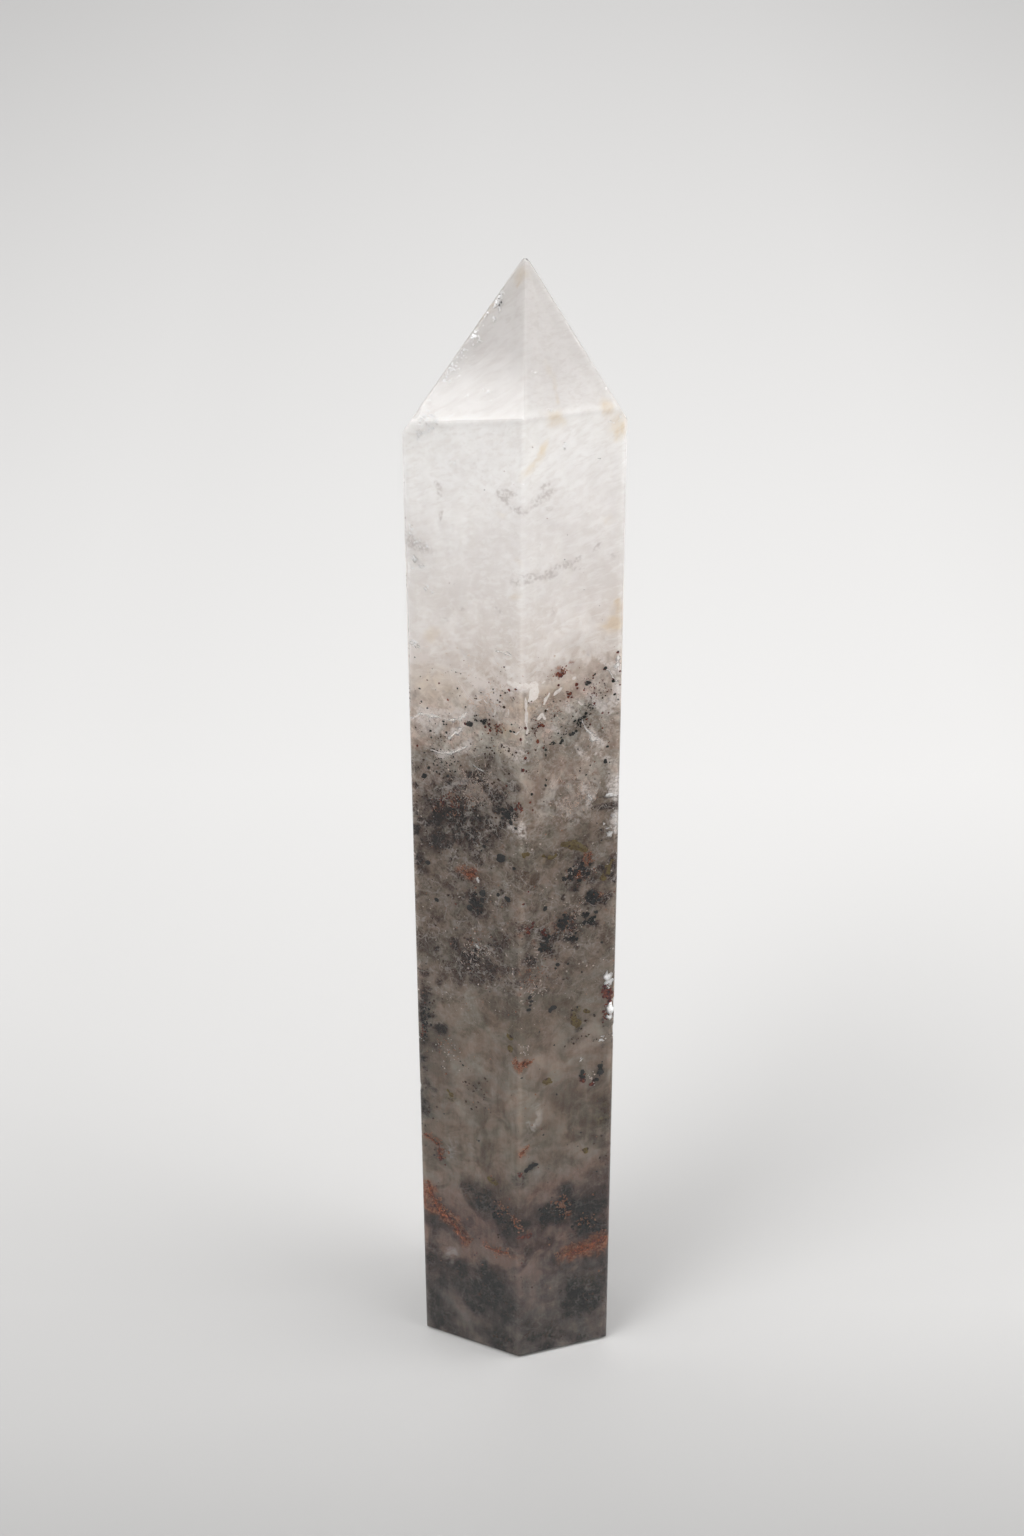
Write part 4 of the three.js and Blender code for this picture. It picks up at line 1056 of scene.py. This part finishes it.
# Painted glints: pale crumbs by the dark clusters that stand for the light the grains catch
PAINTED_GLINT_GROUPS = [
    (8, 73.4, 4.4, 2.2, -20, 40, 0.1, 0.26), (10, 69.8, 2.4, 2, 0, 24, 0.12, 0.26),
    (9.4, 66.6, 3, 2, 0, 36, 0.12, 0.28), (7.2, 64.6, 3, 3, 0, 20, 0.1, 0.24),
    (-0.2, 82.2, 2.6, 2.8, 20, 50, 0.1, 0.24), (-4.6, 62.6, 5, 3, 0, 30, 0.12, 0.26),
    (2.6, 57.6, 6, 4, 0, 40, 0.1, 0.24), (-6, 84.4, 8, 6, -40, 70, 0.08, 0.22),
    (8.6, 84, 7, 8, 0, 50, 0.08, 0.24), (-4, 97, 8, 4, -30, 50, 0.08, 0.3),
    (5, 97, 7, 5, -30, 60, 0.08, 0.34), (9.6, 93, 4, 5, 40, 30, 0.08, 0.3),
    (1.4, 49, 3.6, 3, 40, 16, 0.12, 0.24), (10, 43, 3, 3, 0, 10, 0.15, 0.3),
    (-8.8, 46, 6, 6, 0, 30, 0.1, 0.26),
]
NEEDLE_GROUPS = [
    (1, 62, 7, 5, 0, 60, 0.3, 0.8), (-5.4, 61, 5, 4, 0, 40, 0.3, 0.8),
    (8.4, 67.6, 4.6, 5, 0, 70, 0.25, 0.6), (6.6, 23, 4, 3.4, 0, 30, 0.3, 0.6),
    (2, 57.6, 6, 3, 0, 30, 0.25, 0.6), (-4.6, 85.4, 6, 7, 20, 200, 0.25, 0.7),
    (-0.2, 82.8, 2.4, 2.4, 0, 60, 0.25, 0.5), (8, 84, 7, 7, 0, 120, 0.3, 0.8),
    (3.6, 97.6, 9, 5, -20, 120, 0.2, 0.6), (-3, 97.6, 8, 5, -20, 120, 0.25, 0.7),
]


def grain_piece(name, material_name, colours, singles, groups, loose, shape=(1, 1, 0.7)):
    """Grains of one mineral: the single ones and groups that the front shows, and others strewn all
    round. Each row of loose has how many, between which heights, and the smallest and largest."""
    plates = []
    for across, up, size in singles:
        place = seen(across, up, GRAIN_DEPTH, rng.uniform(0, 180))
        plates.append(patch(place, 1.35 * size, 1.1 * size, 0.12, 0.3))
    places, sizes = [], []
    for across, up, wide, high, lean, count, smallest, largest in groups:
        found = gathered(seen(across, up, 0.0, lean), wide, high, count, 1.0, 0.2)
        places.append(found)
        sizes.append(rng.uniform(smallest, largest, len(found)))
    for count, low, high, smallest, largest in loose:
        found = strewn(count, low, high)
        places.append(found)
        sizes.append(smallest + (largest - smallest) * rng.uniform(0, 1, len(found)) ** 2.5)
    places, sizes = np.concatenate(places), np.concatenate(sizes)
    loose_grains = grains(*sunk(places, sizes), shape)
    material = mineral(material_name, colours, 0.3)
    make_piece(name, *join_parts(plates + [loose_grains]), material, smooth=False)


def mineral_grains():
    """Flakes of black mica, round red hematite, pale crumbs that are painted glints, rusty crumbs, and pale
    needles that sparkle as hairs."""
    grain_piece(
        "mica_grains", "black mica as grown", ["181313", "201A1A", "161111", "2E2726", "1A1514"],
        BLACK, BLACK_GROUPS,
        [(420, 86, 102, 0.08, 0.34), (520, 14, 86, 0.08, 0.4), (50, 104, 130, 0.06, 0.2)],
    )
    grain_piece(
        "hematite_grains", "hematite as grown", ["33201B", "4C2A22", "6E4236"],
        RED, RED_GROUPS,
        [(260, 86, 103, 0.08, 0.3), (260, 12, 86, 0.08, 0.35), (40, 104, 132, 0.06, 0.18)],
    )
    # Pale crumbs strewn as painted glints
    grain_piece(
        "painted_glint_crumbs", "pale crumbs as painted glints", ["8F8178", "D2BFB0", "A8948A"],
        [], PAINTED_GLINT_GROUPS, [(1300, 52, 92, 0.06, 0.32), (500, 88, 104, 0.06, 0.3)],
    )
    rust = []
    for path, width, _ in RUST_VEINS:
        for middle in trail(path, 1.6 * width, int(14 * width * len(path))):
            rust.append((*middle, 1.0, 1.0, 0, 5, 0.1, 0.4))
    grain_piece(
        "rust_crumbs", "iron rust as grown", ["4A322B", "754738", "A07A66", "553A32", "8A5644"],
        [], rust + RUST_GROUPS, [(600, 50, 88, 0.06, 0.28), (160, 10, 50, 0.12, 0.4)],
    )
    grain_piece(
        "pale_needles", "byssolite needles as grown", ["9A8F88", "CFA78F", "C9C0BA"], [], NEEDLE_GROUPS,
        [(500, 56, 92, 0.15, 0.6), (260, 90, 104, 0.2, 0.7)], (1.0, 0.15, 0.15),
    )


# How many strands of each kind are on the hidden sides
HIDDEN_STRANDS = 14


def vein_piece(name, material, rows, widening=1.0):
    """Strands of one mineral: those that the front shows, and copies of some of them on the hidden
    sides."""
    parts = []
    for path, width, ragged in rows:
        # A strand that would run out of the stone at an edge is moved in from it
        for inwards in np.arange(0, 1.4, 0.2):
            moved = [(across - inwards * np.sign(across), up) for across, up in path]
            part = vein(moved, widening * width, ragged)
            if inside(part[0], LEAST_ROOM):
                break
        parts.append(part)
    shown = len(parts)
    for i in rng.integers(0, shown, HIDDEN_STRANDS):
        points, faces = parts[i]
        middle = points.mean(0)
        facing = rng.uniform(*HIDDEN_SIDES)
        centre, axes = hidden(facing, middle[2] + rng.uniform(-4, 4), 0.3, rng.uniform(-50, 50))
        _, seen_axes = seen(middle[0], middle[2], 0.0)
        parts.append((centre + (points - middle) @ seen_axes.T @ axes, faces))
    points, faces = join_parts(parts)
    piece = make_piece(name, points, faces, material, smooth=False)
    # A strand is a row of rings of four points, and its rim is the first and third of each
    core = np.tile([0.0, 1.0], len(points) // 2)
    piece.data.attributes.new("core", "FLOAT", "POINT").data.foreach_set("value", core)


def veins_and_flakes():
    """Films of rust, healed cracks that show as white threads, cream feldspar and flakes of green
    mica."""
    vein_piece("rust_films", veil("iron rust film as grown", ["5E382C", "9C5C45"], 0.65), RUST_VEINS, 2.0)
    vein_piece("white_veils", veil("healed crack", ["DDD4CE", "F6F2EF"], 0.9), WHITE_LINES, 2.2)
    vein_piece("cream_feldspar", mineral("feldspar as grown", ["D2C7BF", "EFE8E2", "E0D6CE"]), CREAM_VEINS)
    green_mica = mineral("green mica as grown", ["3A3222", "5E523A", "4A402B"])
    vein_piece("green_mica_flakes", green_mica, OLIVE_FLAKES, 1.4)


# The larger white chips of the edges: across, up, width and height
CHIPS = [
    (12.4, 57.8, 1.3, 1.9), (12.1, 56.9, 0.8, 1), (12.6, 52.8, 1.1, 2.2), (12.3, 51.6, 0.7, 1),
    (-2, 145.2, 0.5, 0.8), (-3, 143.6, 0.4, 0.6), (-4.6, 141.5, 0.9, 0.4), (-7.5, 137.9, 0.7, 0.3),
    (-10.3, 132.9, 0.4, 1), (-10.4, 131.4, 0.35, 0.8), (-12, 114.6, 1.2, 0.7), (-11.4, 113.8, 0.8, 0.5),
    (-12.2, 103.6, 1, 0.4), (12.8, 101.6, 0.3, 1.4), (12.9, 84, 0.5, 1.8), (12.9, 81, 0.5, 1.2),
    (12, 78.4, 0.8, 0.8), (11.4, 48.4, 0.7, 0.5), (-9.2, 132.6, 0.5, 0.4), (-11.2, 130.6, 0.3, 0.7),
]
# Where the edges were knocked: across, up, width, height and how many small cracks
BRUISES = [
    (-1.9, 145.6, 1, 1.6, 26), (-4.5, 141.6, 1.4, 1.2, 20), (-7.5, 138, 1.2, 1.4, 16),
    (-8.2, 137, 0.8, 1, 8), (-10.3, 132.8, 1.2, 2.4, 26), (-3.2, 143.4, 0.8, 1.2, 8),
    (-6.2, 139.8, 1, 1, 8), (-9.4, 132.8, 0.8, 0.8, 6), (-11.6, 130.6, 0.6, 1.2, 5),
    (-11.7, 116.6, 1.6, 1, 12), (-12.4, 118.6, 0.8, 1.4, 8), (-12.2, 113.4, 0.6, 1.2, 4),
    (-10, 111, 1.2, 0.6, 4), (-12.3, 103.4, 1.2, 0.5, 6), (12.3, 56.9, 0.8, 1.4, 12),
    (12.6, 52.6, 0.6, 1.6, 10), (12.5, 101.4, 0.5, 1.6, 6), (4.1, 135.4, 0.8, 0.4, 4),
    (5.9, 130.8, 0.2, 1, 3), (11.8, 133.4, 1, 1.2, 6), (12.2, 79.4, 1.2, 1.4, 9),
    (11.4, 48.6, 0.8, 0.6, 6), (8.7, 46, 0.4, 0.4, 2), (-12.5, 46.6, 0.3, 0.6, 3),
    (-7.4, 127.9, 0.3, 0.3, 2), (2.2, 139, 0.7, 0.5, 3), (-6, 139.4, 2, 0.8, 4),
    (-3.2, 136.4, 2.4, 1.4, 5),
]


def bruise(across, up, wide, high):
    """A small crack just under the skin, moved in from the edge until it fits."""
    for inwards in np.arange(0, 1.6, 0.2):
        at = across - inwards * np.sign(across)
        part = patch(seen(at, up, rng.uniform(0.06, 0.13), rng.uniform(0, 180)), wide, high, 0.05, 0.8)
        if inside(part[0], LEAST_ROOM):
            break
    return part


def edge_bruises():
    """White bruises just under the edges, where the stone was knocked: small ragged cracks that catch the
    light."""
    parts = [bruise(across, up, wide, high) for across, up, wide, high in CHIPS]
    for across, up, wide, high, count in BRUISES:
        for _ in range(count):
            size = rng.uniform(0.12, 0.48)
            at = across + rng.normal() * wide / 3, up + rng.normal() * high / 3
            parts.append(bruise(*at, size, size * rng.uniform(0.25, 1)))
    # More of them on the edges of the hidden sides
    for up in rng.uniform(4, 134, 26):
        facing = rng.choice([124, 175, 230]) + rng.normal() * 1.5
        for _ in range(6):
            at = facing + rng.normal() * 2, up + rng.normal() * 0.5
            place = hidden(*at, rng.uniform(0.07, 0.13), rng.uniform(0, 180))
            size = rng.uniform(0.12, 0.5)
            parts.append(patch(place, size, size * rng.uniform(0.25, 1), 0.05, 0.8))
    bruised = mineral("bruised quartz", ["A8A19C", "F8F6F4", "FFFFFF", "FFFFFF"], 0.3, 0.4)
    make_piece("edge_bruises", *join_parts(parts), bruised)


# A triangle whose normal agrees this well with a facet's lies flat on it
FLAT = 0.9999


def polished_skin():
    """The ground and polished outside. Its chips are rounded as broken quartz is, and its facets stay
    flat."""
    edit = bmesh.new()
    edit.from_mesh(TOWER.data)
    bmesh.ops.remove_doubles(edit, verts=edit.verts, dist=1e-7)
    points = np.array([v.co[:] for v in edit.verts]) / MM
    faces = [[v.index for v in f.verts] for f in edit.faces]
    edit.free()
    shell = make_piece("polished_skin", points, faces, polished_quartz())
    shell.data.set_sharp_from_angle(angle=math.radians(20))
    for face in shell.data.polygons:
        face.use_smooth = float((NORMALS @ np.array(face.normal)).max()) < FLAT
    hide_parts("quartz_tower")


def softbox(name, facing, elevation, away, size, power):
    """A round soft light that faces the stone from a compass direction and height, away metres off."""
    around, high = math.radians(facing), math.radians(elevation)
    out = math.sin(around) * math.cos(high), -math.cos(around) * math.cos(high), math.sin(high)
    at = Vector(out) * away
    lamp = bpy.data.lights.new(name, "AREA")
    lamp.shape = "DISK"
    lamp.size = size
    lamp.energy = power
    box = bpy.data.objects.new(name, lamp)
    box.location = at
    box.rotation_euler = at.to_track_quat("Z", "Y").to_euler()
    bpy.context.scene.collection.objects.link(box)


def studio():
    """A pale floor with painted shade on it, soft light all round, one large soft light on the left and two
    on the right, and a small one on the left that the tip mirrors."""
    material, tree = new_material("matt white paper with painted shade")
    split = tree.nodes.new("ShaderNodeSeparateXYZ")
    tree.links.new(add(tree, "ShaderNodeTexCoord", out=3), split.inputs[0])
    across, away, _ = split.outputs
    aside = add(tree, "ShaderNodeMath", {0: across}, operation="ABSOLUTE")
    # Painted light on the floor: brighter behind the stone, darker towards the camera
    painted_floor_light = add(tree, "ShaderNodeMapRange", {0: away, 1: -0.10, 2: 0.16, 3: 0.72, 4: 1.0})
    # The polished sides mirror the floor near the stone, so painted shade darkens it in front of the stone
    # and a little beside it, and a painted falloff darkens it far behind and to the left
    for value, start, end, last in (
        (away, 0.0, -0.06, 0.74),
        (away, -0.08, -0.2, 0.4),
        (away, 0.3, 0.9, 0.92),
        (aside, 0.09, 0.25, 0.86),
        (across, -0.01, -0.07, 0.96),
    ):
        painted_falloff = add(tree, "ShaderNodeMapRange", {0: value, 1: start, 2: end, 3: 1.0, 4: last})
        painted_floor_light = add(tree, "ShaderNodeMath", {0: painted_floor_light, 1: painted_falloff}, **TIMES)
    # Further out, in front and beside, the painted shade fades and it is plain pale paper again
    ahead = add(tree, "ShaderNodeMapRange", {0: away, 1: -0.34, 2: -0.8}, **SMOOTH)
    beside = add(tree, "ShaderNodeMapRange", {0: aside, 1: 0.3, 2: 0.7}, **SMOOTH)
    ahead = add(tree, "ShaderNodeMath", {0: ahead, 1: beside}, operation="MAXIMUM")
    painted_floor_light = add(tree, "ShaderNodeMix", {0: ahead, 2: painted_floor_light, 3: 0.78})
    colour = add(tree, "ShaderNodeMix", {0: 1.0, 6: linear("D2D1D0"), 7: painted_floor_light}, **SHADE)
    show(tree, add(tree, "ShaderNodeBsdfPrincipled", {"Base Color": colour, "Roughness": 0.9}))
    mesh = bpy.data.meshes.new("floor")
    edit = bmesh.new()
    bmesh.ops.create_grid(edit, x_segments=1, y_segments=1, size=4.0)
    edit.to_mesh(mesh)
    edit.free()
    mesh.materials.append(material)
    floor = bpy.data.objects.new("floor", mesh)
    floor.location.z = -0.05 * MM
    bpy.context.scene.collection.objects.link(floor)

    world = bpy.data.worlds.new("soft room light")
    world.use_nodes = True
    background = world.node_tree.nodes["Background"]
    background.inputs["Color"].default_value = linear("FFFFFF")
    background.inputs["Strength"].default_value = 0.88
    bpy.context.scene.world = world
    softbox("left softbox", -45, 50.7, 1.23, 0.6, 6.2)
    softbox("right softbox", 84, 44, 1.14, 0.6, 3.8)
    softbox("right fill", 60, 12, 1.4, 0.56, 4.4)
    # The bright lower half of the front left tip facet is the reflection of these, which fades out
    # upwards
    for i in range(4):
        softbox(f"window {i + 1}", -76, 38.0 - 0.3 * i, 1.3, 0.25, 0.125)

    camera = bpy.data.objects.new("camera", bpy.data.cameras.new("camera"))
    camera.data.lens = CAMERA_LENS
    camera.data.sensor_width = 36.0
    camera.data.clip_start = 0.01
    camera.location = CAMERA_AT * MM
    camera.rotation_euler = (math.radians(90 - CAMERA_DOWN), 0, 0)
    bpy.context.scene.collection.objects.link(camera)
    bpy.context.scene.camera = camera
    bpy.context.scene.view_settings.view_transform = "Standard"

    # Light that is caught inside the stone has to find its way out again, so no bounce blurs or stops it
    # early.
    cycles = bpy.context.scene.cycles
    cycles.blur_glossy = 0.0
    cycles.max_bounces = 12
    cycles.diffuse_bounces = 6
    cycles.glossy_bounces = 8
    cycles.transmission_bounces = 10
    cycles.transparent_max_bounces = 16


studio()
polished_skin()
quartz_heart()
chlorite_moss()
mineral_grains()
veins_and_flakes()
edge_bruises()
